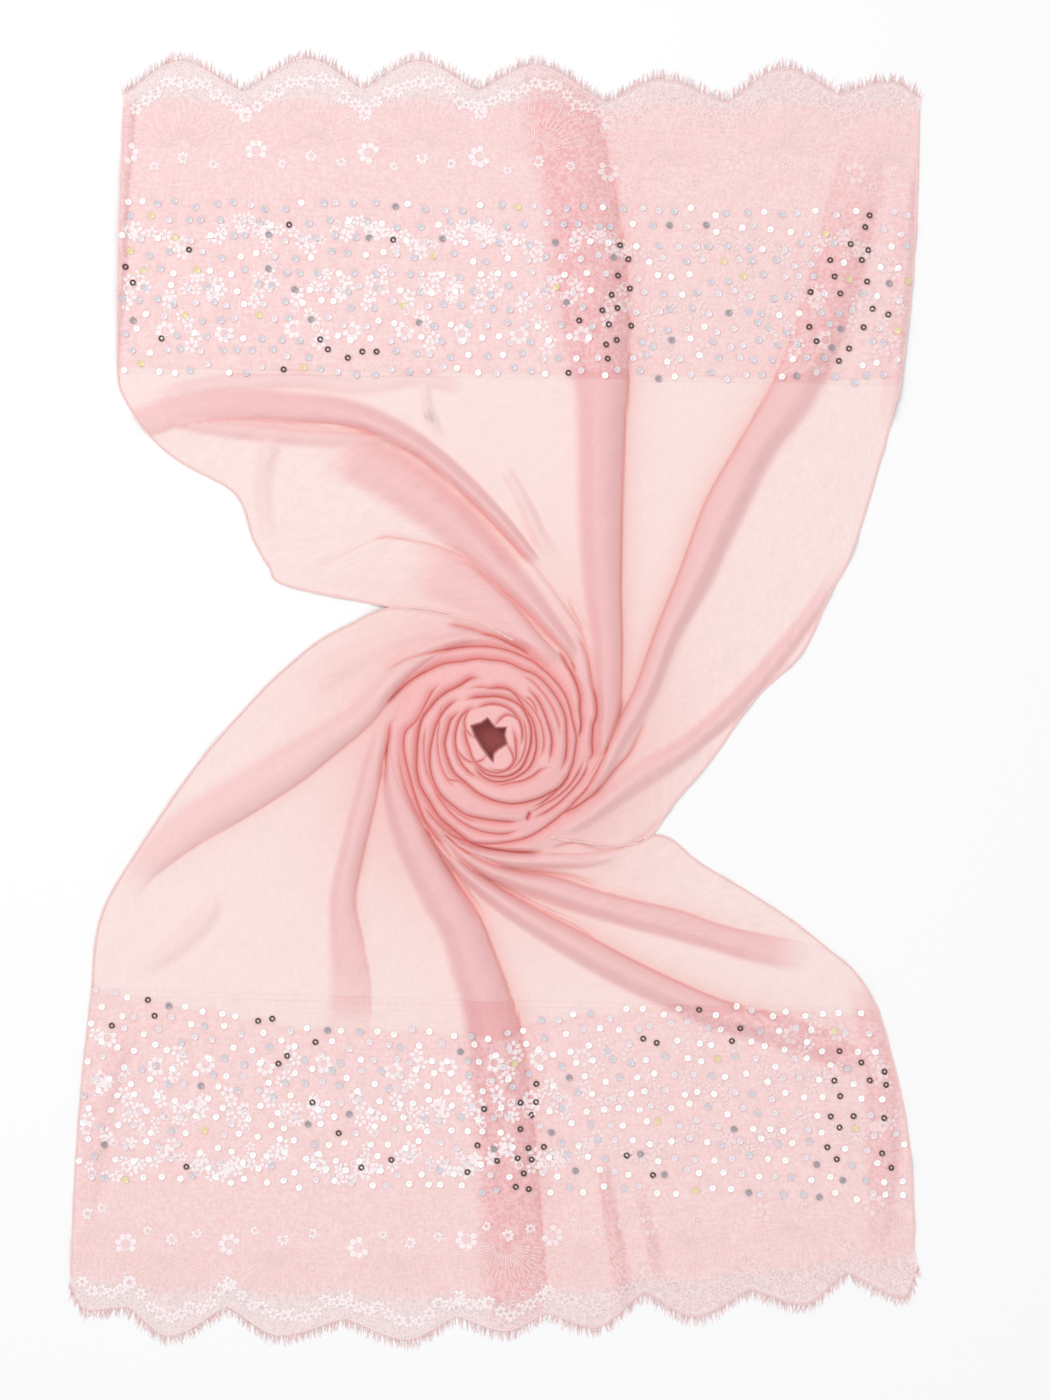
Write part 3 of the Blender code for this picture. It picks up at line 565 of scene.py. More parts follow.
def tube_faces(rings, sides, count=1):
    """Quads between the rings of equal tubes whose points follow each other."""
    ring = np.arange(rings - 1)[:, None] * sides
    side = np.arange(sides)[None, :]
    after = (side + 1) % sides
    quads = np.stack((ring + side, ring + after, ring + sides + after, ring + sides + side), axis=2)
    faces = np.arange(count)[:, None, None] * rings * sides + quads.reshape(1, -1, 4)
    return faces.reshape(-1, 4)


def new_piece(name, vertices, faces, material, values=None, uv=None):
    """A smooth mesh object from arrays, with named values on its points."""
    mesh = bpy.data.meshes.new(name)
    mesh.from_pydata(np.asarray(vertices).tolist(), [], np.asarray(faces).tolist())
    for key, numbers in (values or {}).items():
        layer = mesh.attributes.new(key, "FLOAT", "POINT")
        layer.data.foreach_set("value", np.asarray(numbers, dtype=np.float32).ravel())
    if uv is not None:
        corners = np.zeros(len(mesh.loops), dtype=np.int32)
        mesh.loops.foreach_get("vertex_index", corners)
        layer = mesh.uv_layers.new(name="cloth")
        layer.data.foreach_set("uv", np.asarray(uv, dtype=np.float32)[corners].ravel())
    mesh.shade_smooth()
    mesh.materials.append(material)
    piece = bpy.data.objects.new(name, mesh)
    bpy.context.scene.collection.objects.link(piece)
    print(f"{name}: {2 * len(faces)} triangles")
    return piece


def sheet_grid(name, points, material, values, uv):
    """A grid of table points, rows x columns x 3, as one sheet that faces up."""
    rows, columns = points.shape[:2]
    faces = grid_faces(rows, columns)
    middle = points[rows // 2:rows // 2 + 2, columns // 2:columns // 2 + 2]
    turn = np.cross(middle[0, 1] - middle[0, 0], middle[1, 0] - middle[0, 0])
    if turn[2] < 0:
        faces = faces[:, ::-1]
    flat = {key: value.ravel() for key, value in values.items()}
    return new_piece(name, to_blender(points.reshape(-1, 3)), faces, material, flat,
                     uv.reshape(-1, 2))

# %% [markdown]
# ## What the cloth looks like
# Voile is a plain weave of fine, high-twist yarn. From here its threads melt into a slight unevenness,
# so the weave is a bump of stretched noise along both thread directions. The colour comes from the
# values stored on the points: one layer over the white table, folded layers, and painted salmon
# shade and glow along creases.

# %% Colours and node helpers
def linear(text):
    """A hex colour as the linear numbers that shaders take."""
    parts = [int(text[place:place + 2], 16) / 255 for place in (0, 2, 4)]
    return [part / 12.92 if part < 0.04045 else ((part + 0.055) / 1.055) ** 2.4
            for part in parts] + [1.0]


def add_node(tree, kind, constants=None, **settings):
    """A new node with its settings and the constants on its sockets."""
    node = tree.nodes.new(kind)
    for key, value in settings.items():
        setattr(node, key, value)
    for socket, value in (constants or {}).items():
        node.inputs[socket].default_value = value
    return node


def stored(tree, key, output="Fac"):
    """A value that is stored on the points of the mesh."""
    return add_node(tree, "ShaderNodeAttribute", attribute_name=key).outputs[output]


def computed(tree, operation, first, second, clamp=False):
    """The sum, product or difference of two values, each an output or a number."""
    node = add_node(tree, "ShaderNodeMath", operation=operation, use_clamp=clamp)
    for socket, value in zip(node.inputs, (first, second)):
        if isinstance(value, float):
            socket.default_value = value
        else:
            tree.links.new(value, socket)
    return node.outputs[0]


def mapped(tree, value, given, wanted=(0.0, 1.0)):
    """A value taken from one range of numbers to another."""
    node = add_node(tree, "ShaderNodeMapRange", {"From Min": given[0], "From Max": given[1],
                                                 "To Min": wanted[0], "To Max": wanted[1]})
    tree.links.new(value, node.inputs["Value"])
    return node.outputs["Result"]


def scaled(tree, vector, factor):
    """A vector or colour made larger or brighter by a factor."""
    node = add_node(tree, "ShaderNodeVectorMath", operation="SCALE")
    tree.links.new(vector, node.inputs[0])
    tree.links.new(factor, node.inputs["Scale"])
    return node.outputs[0]


def mixed(tree, factor, first, second):
    """A mix of a colour (hex or output) with a second hex colour."""
    mix = add_node(tree, "ShaderNodeMix", {"B": linear(second)}, data_type="RGBA")
    tree.links.new(factor, mix.inputs["Factor"])
    if isinstance(first, str):
        mix.inputs["A"].default_value = linear(first)
    else:
        tree.links.new(first, mix.inputs["A"])
    return mix.outputs["Result"]


def new_group(title, inputs, outputs):
    """An empty shader group with named inputs and outputs, and its two end nodes."""
    group = bpy.data.node_groups.new(title, "ShaderNodeTree")
    for way, names in (("INPUT", inputs), ("OUTPUT", outputs)):
        for name in names:
            group.interface.new_socket(name, in_out=way, socket_type="NodeSocketFloat")
    return group, group.nodes.new("NodeGroupInput"), group.nodes.new("NodeGroupOutput")


# %% [markdown]
# The weave serves every cloth and yarn here, so it is a group of its own. Two noise textures, each
# stretched along one thread direction, add up to threads with thicker and thinner places (slubs).

# %% The weave group
def weave_group():
    """A shader group with the slubs and threads of a plain weave."""
    group, entry, leave = new_group("plain weave", ("Thread Scale",), ("Height", "Slubs"))
    cloth = add_node(group, "ShaderNodeUVMap", uv_map="cloth").outputs["UV"]
    sized = scaled(group, cloth, entry.outputs["Thread Scale"])
    threads = []
    for stretch in ((1.0, 0.12, 1.0), (0.12, 1.0, 1.0)):
        pull = add_node(group, "ShaderNodeVectorMath", {1: stretch}, operation="MULTIPLY")
        noise = add_node(group, "ShaderNodeTexNoise",
                         {"Scale": 1.0, "Detail": 3.0, "Roughness": 0.65})
        group.links.new(sized, pull.inputs[0])
        group.links.new(pull.outputs[0], noise.inputs["Vector"])
        threads.append(noise.outputs["Fac"])
    half = computed(group, "MULTIPLY", computed(group, "ADD", *threads), 0.5)
    group.links.new(half, leave.inputs["Height"])
    group.links.new(mapped(group, half, (0.35, 0.65)), leave.inputs["Slubs"])
    return group


WEAVE = weave_group()

# %% [markdown]
# The net of the lace has meshes finer than a millimetre or two, too fine to cut out. Round cells give
# the meshes and a noise the blots of yarn worked into them. Both make the ground paler, and past the
# end of the voile, where the net is open, they let the table show through.

# %% The net group
def net_group():
    """A shader group with the meshes of the net: paler threads and, where open, gaps."""
    group, entry, leave = new_group("embroidered net", ("Open", "Start"), ("Pale", "Cover"))
    cloth = add_node(group, "ShaderNodeUVMap", uv_map="cloth").outputs["UV"]
    meshes = add_node(group, "ShaderNodeTexVoronoi", {"Scale": 330.0}, feature="F1")
    blots = add_node(group, "ShaderNodeTexNoise",
                     {"Scale": 150.0, "Detail": 4.0, "Distortion": 1.5})
    for texture in (meshes, blots):
        group.links.new(cloth, texture.inputs["Vector"])
    pattern = computed(group, "ADD", meshes.outputs["Distance"], blots.outputs["Fac"])
    pale = mapped(group, pattern, (0.75, 1.25), (0.0, 0.34))
    worked = computed(group, "SUBTRACT", pale, entry.outputs["Start"], clamp=True)
    group.links.new(worked, leave.inputs["Pale"])
    gaps = mapped(group, pattern, (0.7, 1.2), (0.34, 0.1))
    lost = computed(group, "MULTIPLY", entry.outputs["Open"], gaps)
    group.links.new(computed(group, "SUBTRACT", 1.0, lost, clamp=True), leave.inputs["Cover"])
    return group


NET = net_group()

# %% [markdown]
# One function makes every cloth and yarn. It mixes three colours by the stored values (a single layer,
# folded layers, painted salmon shade and glow in creases), and paints dark shade into the pit, where
# the crease value goes past 1.

# %% The cloth material
BARE_GROUND = "F7DFDB"
NET_YARN = "FDEBEB"
OPEN_NET = "FFE9E7"
# Painted dark mauve shade for the pit.
PAINTED_PIT_SHADE = "A9605F"
# Colour of the painted crease shade and glow on the lace and its yarns.
PAINTED_CREASE_SHADE_LACE = "E9938A"


def new_material(name, constants):
    """A material with constants on the sockets of its shader."""
    material = bpy.data.materials.new(name)
    material.use_nodes = True
    shader = material.node_tree.nodes["Principled BSDF"]
    for socket, value in constants.items():
        shader.inputs[socket].default_value = value
    return material, material.node_tree, shader


def cloth_material(name, single, folded, caught, threads=900.0, bump=0.35, net=False):
    """Cloth whose colour follows its layers and its painted crease shade and glow, with a woven
    surface.
    """
    material, tree, shader = new_material(name, {"Roughness": 0.85, "Sheen Weight": 0.25,
                                                 "Sheen Roughness": 0.5})
    weave = add_node(tree, "ShaderNodeGroup", {"Thread Scale": threads}, node_tree=WEAVE)
    if net:
        start = stored(tree, "start")
        single = mixed(tree, start, single, BARE_GROUND)
    # The crease value and the caught colour paint salmon shade and glow into creases.
    crease = stored(tree, "crease")
    colour = mixed(tree, stored(tree, "layers"), single, folded)
    colour = mixed(tree, crease, colour, caught)
    # Painted dark shade in the pit.
    colour = mixed(tree, mapped(tree, crease, (1.0, PAINTED_PIT_SHADE_STRENGTH)), colour, PAINTED_PIT_SHADE)
    if net:
        meshes = add_node(tree, "ShaderNodeGroup", node_tree=NET)
        opened = stored(tree, "open")
        tree.links.new(opened, meshes.inputs["Open"])
        tree.links.new(start, meshes.inputs["Start"])
        colour = mixed(tree, meshes.outputs["Pale"], colour, NET_YARN)
        colour = mixed(tree, opened, colour, OPEN_NET)
        tree.links.new(meshes.outputs["Cover"], shader.inputs["Alpha"])
    slubs = mapped(tree, weave.outputs["Slubs"], (0.0, 1.0), (0.94, 1.045))
    tree.links.new(scaled(tree, colour, slubs), shader.inputs["Base Color"])
    raised = add_node(tree, "ShaderNodeBump", {"Strength": bump, "Distance": 0.0004})
    tree.links.new(weave.outputs["Height"], raised.inputs["Height"])
    tree.links.new(raised.outputs["Normal"], shader.inputs["Normal"])
    return material


# Colours: one layer, folded layers, and the painted crease shade and glow.
VOILE = cloth_material("voile", "F8E1DD", "F1BFBF", "E68A7E")
WOUND = cloth_material("wound voile", "F8CDCB", "F5BBBA", "D9706A")
LACE = cloth_material("lace ground", "F5CFCD", "EEB1B2", PAINTED_CREASE_SHADE_LACE, threads=500.0, bump=0.6,
                      net=True)
HEM = cloth_material("rolled hem", "F8DEDA", "F7D3CF", "E27F76")

# %% [markdown]
# ## The rosette
# The wound middle is many turns of the panel pressed against each other on edge. Only their upper
# edges show, as ridges that spiral round a small open pit, so one height field in rings and spokes
# gives it: the lay function cuts the grooves between the turns.

# %% Rosette
# Rings of points from the pit out to just under the two stretches of voile
RINGS = 200
SPOKES = 460
reach = np.linspace(0.5, ROSETTE_RADIUS + 4.0, RINGS)[:, None]
turn = np.linspace(0.0, 2 * math.pi, SPOKES + 1)[None, :]
x = ROSETTE[0] + reach * np.cos(turn)
y = ROSETTE[1] + reach * np.sin(turn)
height, layers, painted_shade_and_glow = lay(x, y)
height = height - 0.5 * smooth((reach - ROSETTE_RADIUS) / 2.0)
uv = np.stack((turn * 0.05 + 0 * reach, reach * MM + 0.01 * turn), axis=2)
rosette = sheet_grid("rosette_cloth", np.stack((x, y, height), axis=2), WOUND,
                     {"layers": layers, "crease": painted_shade_and_glow}, uv)

# %% [markdown]
# ## The two stretches of voile
# Between the rosette and each lace border the panel fans out. Its columns start on the rosette's rim,
# wind off it and end straight across, so the grid follows the threads. The `pace` of a line makes its
# points come late where the cloth sweeps round, which keeps rows from crossing.

# %% Field grids
FAN_ROWS = 205
BAND_ROWS = 44
COLUMN_COUNT = 390
WOUND_SHARE = 0.7
PANEL_WIDTH = 0.7


def share_across(x, end):
    """Share of the way from the left to the right corner of a straight end."""
    return (x - end[0][0]) / (end[-1][0] - end[0][0])


def path_at(line, along):
    """Points of a table line at shares of its length."""
    angle = math.radians(line.rim)
    start = ROSETTE + (ROSETTE_RADIUS - 1.5) * np.array((math.cos(angle), math.sin(angle)))
    run = run_through((tuple(start), *line.way, line.outer), 24)
    return places_at(run, along ** line.pace * reach_along(run)[-1])


def fan_between(first, second, share, along):
    """Points between two lines, wound round the rosette near its rim."""
    arms = [side - ROSETTE for side in (first, second)]
    angles = [np.arctan2(arm[:, 1], arm[:, 0]) for arm in arms]
    reaches = [np.hypot(arm[:, 0], arm[:, 1]) for arm in arms]
    turn = (angles[1] - angles[0] + math.pi) % (2 * math.pi) - math.pi
    angle = angles[0] + share * turn
    reach = reaches[0] * (1 - share) + reaches[1] * share
    wound = ROSETTE + np.stack((reach * np.cos(angle), reach * np.sin(angle)), axis=-1)
    straight = first * (1 - share) + second * share
    blend = smooth(along / WOUND_SHARE)[:, None]
    return wound * (1 - blend) + straight * blend


def field_columns(lines, end, bows, fan_rows, band_rows):
    """Plan places of a field, rows x columns x 2."""
    along = np.linspace(0.0, 1.0, fan_rows + 1) ** 1.2
    part = np.linspace(0.0, 1.0, band_rows + 1)[1:, None]
    total = sum(line.steps for line in lines)
    columns = []
    for line, after in zip(lines, lines[1:]):
        first, second = path_at(line, along), path_at(after, along)
        count = max(2, round(COLUMN_COUNT * line.steps / total))
        shares = np.linspace(0.0, 1.0, count, endpoint=False)
        if after is lines[-1]:
            shares = np.linspace(0.0, 1.0, count)
        for share in shares:
            fan = fan_between(first, second, share, along)
            end_x = line.end_x + share * (after.end_x - line.end_x)
            finish = np.array((end_x, np.interp(end_x, *zip(*end))))
            band = fan[-1] + part * (finish - fan[-1])
            bow = bows[0] + share_across(end_x, end) * (bows[1] - bows[0])
            band[:, :1] += bow * np.sin(math.pi * part)
            columns.append(np.vstack((fan, band)))
    return np.stack(columns, axis=1)


def cloth_uv(plan, end):
    """Cloth coordinates in metres: across the panel and along it."""
    across = share_across(plan[-1, :, 0], end)
    steps = np.hypot(*np.moveaxis(np.diff(plan, axis=0), 2, 0))
    along = np.concatenate((np.zeros((1, plan.shape[1])), np.cumsum(steps, axis=0)))
    return np.stack((np.broadcast_to(across * PANEL_WIDTH, along.shape), along * MM), axis=2)


VOILE_LIFT = 0.7
fields = {}
plans = {}
for name, lines, end, bows in (("upper_voile", UPPER_LINES, UPPER_END, UPPER_BOWS),
                               ("lower_voile", LOWER_LINES, LOWER_END, LOWER_BOWS)):
    plan = field_columns(lines, end, bows, FAN_ROWS, BAND_ROWS)
    plans[name] = plan
    height, layers, painted_shade_and_glow = lay(plan[:, :, 0], plan[:, :, 1])
    points = np.dstack((plan, height + VOILE_LIFT - REST_LEVEL))
    fields[name] = sheet_grid(name, points, VOILE, {"layers": layers, "crease": painted_shade_and_glow},
                              cloth_uv(plan, end))

# %% [markdown]
# ## The lace borders
# Each border is a strip of embroidered net, sewn flat over the end of the voile. It follows every
# fold of the cloth below it and goes on past the voile's straight end, out to a scalloped edge that
# lies on the table.

# %% Lace shells
Scallop = namedtuple("Scallop", "valley_x valley_y peak_x peak_y")
UPPER_SCALLOPS = (
    Scallop(-304, 496, -257, 523), Scallop(-205, 498, -152, 525), Scallop(-107, 500, -61, 523),
    Scallop(-12, 499, 34, 520), Scallop(93, 489, 137, 508), Scallop(191, 489, 238, 517),
    Scallop(284, 496, 326, 506), Scallop(352, 492, 352, 492),
)
LOWER_SCALLOPS = (
    Scallop(-348, -482, -334, -503), Scallop(-300, -500, -266, -524),
    Scallop(-218, -500, -175, -524), Scallop(-122, -510, -71, -527), Scallop(-30, -508, 10, -520),
    Scallop(44, -505, 83, -517), Scallop(124, -488, 165, -508), Scallop(211, -486, 254, -498),
    Scallop(290, -472, 338, -492), Scallop(349, -466, 349, -466),
)
LACE_ROWS = 96
OVERHANG_ROWS = 16
LACE_LIFT = 1.3
EDGE_LEVEL = 0.6


def scallop_edge(scallops, x):
    """The scalloped edge at each x, round at the peaks and softly pointed in the valleys."""
    edge = np.zeros(x.shape)
    for here, after in zip(scallops, scallops[1:]):
        inside = (x >= here.valley_x - 1e-6) & (x <= after.valley_x + 1e-6)
        rising = x < here.peak_x
        up = (x - here.valley_x) / (here.peak_x - here.valley_x)
        down = (after.valley_x - x) / (after.valley_x - here.peak_x)
        share = np.clip(np.where(rising, up, down), 0.0, 1.0)
        valley = np.where(rising, here.valley_y, after.valley_y)
        bulge = 0.5 * np.sin(0.5 * math.pi * share) + 0.5 * smooth(share)
        there = valley + (here.peak_y - valley) * bulge
        edge = np.where(inside, there, edge)
    return edge


def sag(x, y):
    """How far in from its inner edge the embroidery of a border starts, at each place."""
    dips = np.interp(x, (-330, -260, -150, -60, 0, 60, 150, 330), (0, 8, 26, 24, 26, 10, 0, 4))
    return np.where(y < 0, dips + 2.0 * np.sin(x / 7.0), 1.5 + 1.5 * np.sin(x / 8.0))


def lace_grid(lines, end, bows, scallops):
    """Points of one lace border, rows x columns x 3, with its layers and creases."""
    plan = field_columns(lines, end, bows, 2, LACE_ROWS)[2:]
    across = share_across(plan[-1, :, 0], end)
    x = scallops[0].valley_x + across * (scallops[-1].valley_x - scallops[0].valley_x)
    rim = np.stack((x, scallop_edge(scallops, x)), axis=-1)
    part = np.linspace(0.0, 1.0, OVERHANG_ROWS + 1)
    hang = plan[-1] + part[1:, None, None] * (rim - plan[-1])
    plan = np.concatenate((plan, hang))
    height, layers, painted_shade_and_glow = lay(plan[:, :, 0], plan[:, :, 1])
    start = np.hypot(*np.moveaxis(plan - plan[:1], 2, 0))
    sewn = VOILE_LIFT + 0.15
    height = height + sewn + (LACE_LIFT - sewn) * smooth(start / 6) - REST_LEVEL
    height[-OVERHANG_ROWS:] += smooth(part[1:, None]) * (EDGE_LEVEL - height[-OVERHANG_ROWS:])
    begun = 1.0 - smooth((start - sag(plan[:, :, 0], plan[:, :, 1])) / 7.0)
    gaps = np.zeros(height.shape)
    gaps[-OVERHANG_ROWS - 1:] = smooth(part * 2.5)[:, None]
    gaps = gaps * (1.0 - 0.7 * np.clip(layers, 0.0, 1.0))
    values = {"layers": layers, "crease": painted_shade_and_glow, "open": gaps, "start": begun}
    return np.dstack((plan, height)), values, rim


laces, rims, lace_points = {}, {}, {}
for name, lines, end, bows, scallops in (
        ("upper_lace_cloth", UPPER_LINES, UPPER_END, UPPER_BOWS, UPPER_SCALLOPS),
        ("lower_lace_cloth", LOWER_LINES, LOWER_END, LOWER_BOWS, LOWER_SCALLOPS)):
    points, values, rims[name] = lace_grid(lines, end, bows, scallops)
    lace_points[name] = points
    laces[name] = sheet_grid(name, points, LACE, values, cloth_uv(points[:, :, :2], end))

# %% [markdown]
# ## Eyelashes
# Eyelash lace is cut so that its warp threads stick out past the scallops. They are fine, soft and a
# little uneven in length and lean.

# %% Lashes
LASH_STEP = 0.95
LASH_ROOT = 1.2
HAIR_TAPER = 0.75
RIGHTWARD_PINK_SHARE = 0.7
chance = np.random.default_rng(7)


def tubes(starts, ways, lengths, widths, bends):
    """Many tapered hairs in one mesh: vertices and faces."""
    rings = sides = 3
    count = len(starts)
    share = np.linspace(0.0, 1.0, rings)[None, :, None]
    across = np.stack((-ways[:, 1], ways[:, 0], np.zeros(count)), axis=1)
    middle = starts[:, None, :] + share * (ways * lengths[:, None])[:, None, :]
    middle = middle + share ** 2 * (across * bends[:, None])[:, None, :]
    taper = (1.0 - HAIR_TAPER * share[:, :, 0]) * widths[:, None] * 0.5
    turn = np.arange(sides) * 2 * math.pi / sides
    up = np.array((0.0, 0.0, 1.0))
    around = (np.cos(turn)[None, None, :, None] * across[:, None, None, :]
              + np.sin(turn)[None, None, :, None] * up)
    vertices = middle[:, :, None, :] + taper[:, :, None, None] * around
    return vertices.reshape(-1, 3), tube_faces(rings, sides, count)


def joined(name, parts, material, layers):
    """One object from several vertex and face arrays; None makes the yarn pinker towards the right."""
    vertices, faces, first = [], [], 0
    for points, quads in parts:
        vertices.append(points)
        faces.append(quads + first)
        first += len(points)
    vertices = np.vstack(vertices)
    if layers is None:
        layers = RIGHTWARD_PINK_SHARE * smooth((vertices[:, 0] + 20) / 160)
    values = {"layers": np.zeros(len(vertices)) + layers, "crease": np.zeros(len(vertices))}
    return new_piece(name, to_blender(vertices), np.vstack(faces), material, values,
                     vertices[:, :2] * MM)


def lash_mesh(name, rim, side):
    """The eyelash edge along one row of scallops."""
    rim = rim[np.argsort(rim[:, 0])]
    at = np.arange(0.0, reach_along(rim)[-1], LASH_STEP)
    at = at + chance.uniform(-0.4, 0.4, len(at))
    starts = np.column_stack((places_at(rim, at), np.full(at.shape, EDGE_LEVEL)))
    starts[:, 1] -= side * LASH_ROOT
    lean = np.radians(chance.normal(0.0, 13.0, len(at)))
    ways = np.stack((np.sin(lean), side * np.cos(lean), np.full(len(at), -0.02)), axis=1)
    lengths = chance.uniform(5.5, 10.5, len(at))
    vertices, faces = tubes(starts, ways, lengths, chance.uniform(0.6, 0.95, len(at)),
                            chance.normal(0.0, 0.9, len(at)))
    vertices[:, 2] = np.maximum(vertices[:, 2], 0.15)
    return joined(name, [(vertices, faces)], LASH, 0.0)


LASH = cloth_material("lash yarn", "FFDAD8", "F6C4C2", PAINTED_CREASE_SHADE_LACE, bump=0.1)
lashes = {
    "upper_lashes": lash_mesh("upper_lashes", rims["upper_lace_cloth"], 1.0),
    "lower_lashes": lash_mesh("lower_lashes", rims["lower_lace_cloth"], -1.0),
}

# %% [markdown]
# ## Rolled hems and stitches
# Both long sides are finished with a rolled hem: the edge is curled over once and caught with tiny
# stitches. Rolled cloth is several layers thick, so the hem shows as a darker line. Another row of
# stitches holds the lace border down along its inner edge. A roll is a tube that is swept along the
# first and the last column of the voile's grid.

# %% Hems and stitches
HEM_RADIUS = 0.85
HEM_SIDES = 7


def roll(run):
    """Vertices and faces of a round roll along a run of table points."""
    ahead = np.gradient(run, axis=0)
    ahead /= np.linalg.norm(ahead, axis=1)[:, None]
    across = np.stack((-ahead[:, 1], ahead[:, 0], np.zeros(len(run))), axis=1)
    across /= np.maximum(np.linalg.norm(across, axis=1), TINY)[:, None]
    up = np.cross(ahead, across)
    turn = np.arange(HEM_SIDES) * 2 * math.pi / HEM_SIDES
    around = (np.cos(turn)[None, :, None] * across[:, None, :]
              + np.sin(turn)[None, :, None] * up[:, None, :])
    thick = HEM_RADIUS * (1.0 + 0.15 * np.sin(0.9 * np.arange(len(run))))[:, None, None]
    vertices = (run[:, None, :] + thick * around).reshape(-1, 3)
    return vertices, tube_faces(len(run), HEM_SIDES)


def laid_on(plan, lift):
    """Table points on the cloth, lifted a little off it."""
    return np.column_stack((plan, height_at(plan) + lift))


def whip(run, spacing, length, radius, lift, slant):
    """Small slanted stitches along a run."""
    at = np.arange(2.0, reach_along(run)[-1] - 2.0, spacing)
    plan = places_at(run, at)
    ahead = np.gradient(plan, axis=0)
    angle = np.arctan2(ahead[:, 1], ahead[:, 0]) + slant
    ways = np.stack((np.cos(angle), np.sin(angle), np.zeros(len(at))), axis=1)
    starts = laid_on(plan, lift) - 0.5 * length * ways
    return tubes(starts, ways, np.full(len(at), length), np.full(len(at), radius),
                 np.zeros(len(at)))


hems = {}
for name, plan in plans.items():
    rolls = []
    for column in (0, -1):
        run = laid_on(plan[6:, column], 0.5)
        run[:, 2] = np.maximum(run[:, 2], HEM_RADIUS + 0.12)
        rolls.append(roll(run))
        rolls.append(whip(plan[10:, column], 3.2, 2.2, 0.5, 1.4, 0.9))
    hems[name] = joined(name.replace("voile", "hems"), rolls, HEM, 1.0)

LACE_YARN = cloth_material("sewing yarn", "F9DEDA", "F6CFCD", PAINTED_CREASE_SHADE_LACE, threads=1600.0)
seams = {}
for name, points in lace_points.items():
    row = whip(points[2, :, :2], 3.4, 2.0, 0.35, 0.9, 0.12)
    seams[name] = joined(name.replace("lace_cloth", "stitches"), [row], LACE_YARN, 0.0)

# %% [markdown]
# ## Embroidery on the lace
# The net carries open flowers, sprays of small blossoms, and a ribbed fan in every scallop, all worked
# in a paler and thicker yarn. Each motif is a set of flat cords and petals that lie on the net. The
# motifs are drawn by simple rules of their own and repeat once for each scallop, as the loom
# would repeat them; what would fall off the border's sides is left out, as if it were cut away.

# %% Places on the lace
EMBROIDERY_LIFT = 1.55
# Which way a border runs from its inner edge, and its scallops
SIDES = {"upper_lace_cloth": (1.0, UPPER_SCALLOPS), "lower_lace_cloth": (-1.0, LOWER_SCALLOPS)}


def band_sides(name, y):
    """Left and right side of a border at each y."""
    sides = []
    for column in (0, -1):
        run = lace_points[name][:, column]
        order = np.argsort(run[:, 1])
        sides.append(np.interp(y, run[order, 1], run[order, 0]))
    return np.minimum(*sides), np.maximum(*sides)


def inner_edge(name, x):
    """Where the border begins, at each x."""
    run = lace_points[name][0]
    order = np.argsort(run[:, 0])
    return np.interp(x, run[order, 0], run[order, 1])


def on_border(name, plan, margin=1.5):
    """Which table places lie on a border."""
    side, scallops = SIDES[name]
    left, right = band_sides(name, plan[..., 1])
    inside = (plan[..., 0] > left + margin) & (plan[..., 0] < right - margin)
    inside &= side * plan[..., 1] > side * inner_edge(name, plan[..., 0]) + margin
    return inside & (side * plan[..., 1] < side * scallop_edge(scallops, plan[..., 0]) - 0.5)


def on_lace(plan, lift):
    """Table points on the lace, which falls to the table past the voile's end."""
    upper = plan[:, 1] > 0
    end_y = np.where(upper, np.interp(plan[:, 0], *zip(*UPPER_END)),
                     np.interp(plan[:, 0], *zip(*LOWER_END)))
    rim_y = np.where(upper, scallop_edge(UPPER_SCALLOPS, plan[:, 0]),
                     scallop_edge(LOWER_SCALLOPS, plan[:, 0]))
    share = smooth((plan[:, 1] - end_y) / np.where(np.abs(rim_y - end_y) < 1, 1, rim_y - end_y))
    height = height_at(plan) - REST_LEVEL + lift
    return np.column_stack((plan, height + share * (EDGE_LEVEL + 0.2 - height)))


# %% [markdown]
# Satin stitch lies on the net like a low cord, and a petal is a small patch of it. Both are made for a
# whole border at once: all cords of one width in one array, and all petals of one size in another.

# %% Cords and petals
CORD = 1.3
FINE_CORD = 0.9
EDGE_CORD = 0.8


def cord_strips(name, paths, width):
    """Low cords along plan paths of one length, where they lie wholly on the border."""
    paths = np.asarray(paths)
    paths = paths[on_border(name, paths).all(axis=1)]
    count, length = paths.shape[:2]
    ahead = np.gradient(paths, axis=1)
    ahead /= np.maximum(np.linalg.norm(ahead, axis=2), TINY)[:, :, None]
    across = np.stack((-ahead[:, :, 1], ahead[:, :, 0]), axis=2) * width * 0.5
    rows = np.stack((paths - across, paths, paths + across), axis=2).reshape(-1, 2)
    points = on_lace(rows, EMBROIDERY_LIFT)
    points[:, 2] += np.tile((0.0, 0.45 * width, 0.0), count * length)
    step = np.arange(length - 1)[:, None] * 3
    side = np.arange(2)[None, :]
    quads = np.stack((step + side, step + side + 1, step + side + 4, step + side + 3), axis=2)
    faces = np.arange(count)[:, None, None] * length * 3 + quads.reshape(1, -1, 4)
    return points, faces.reshape(-1, 4)


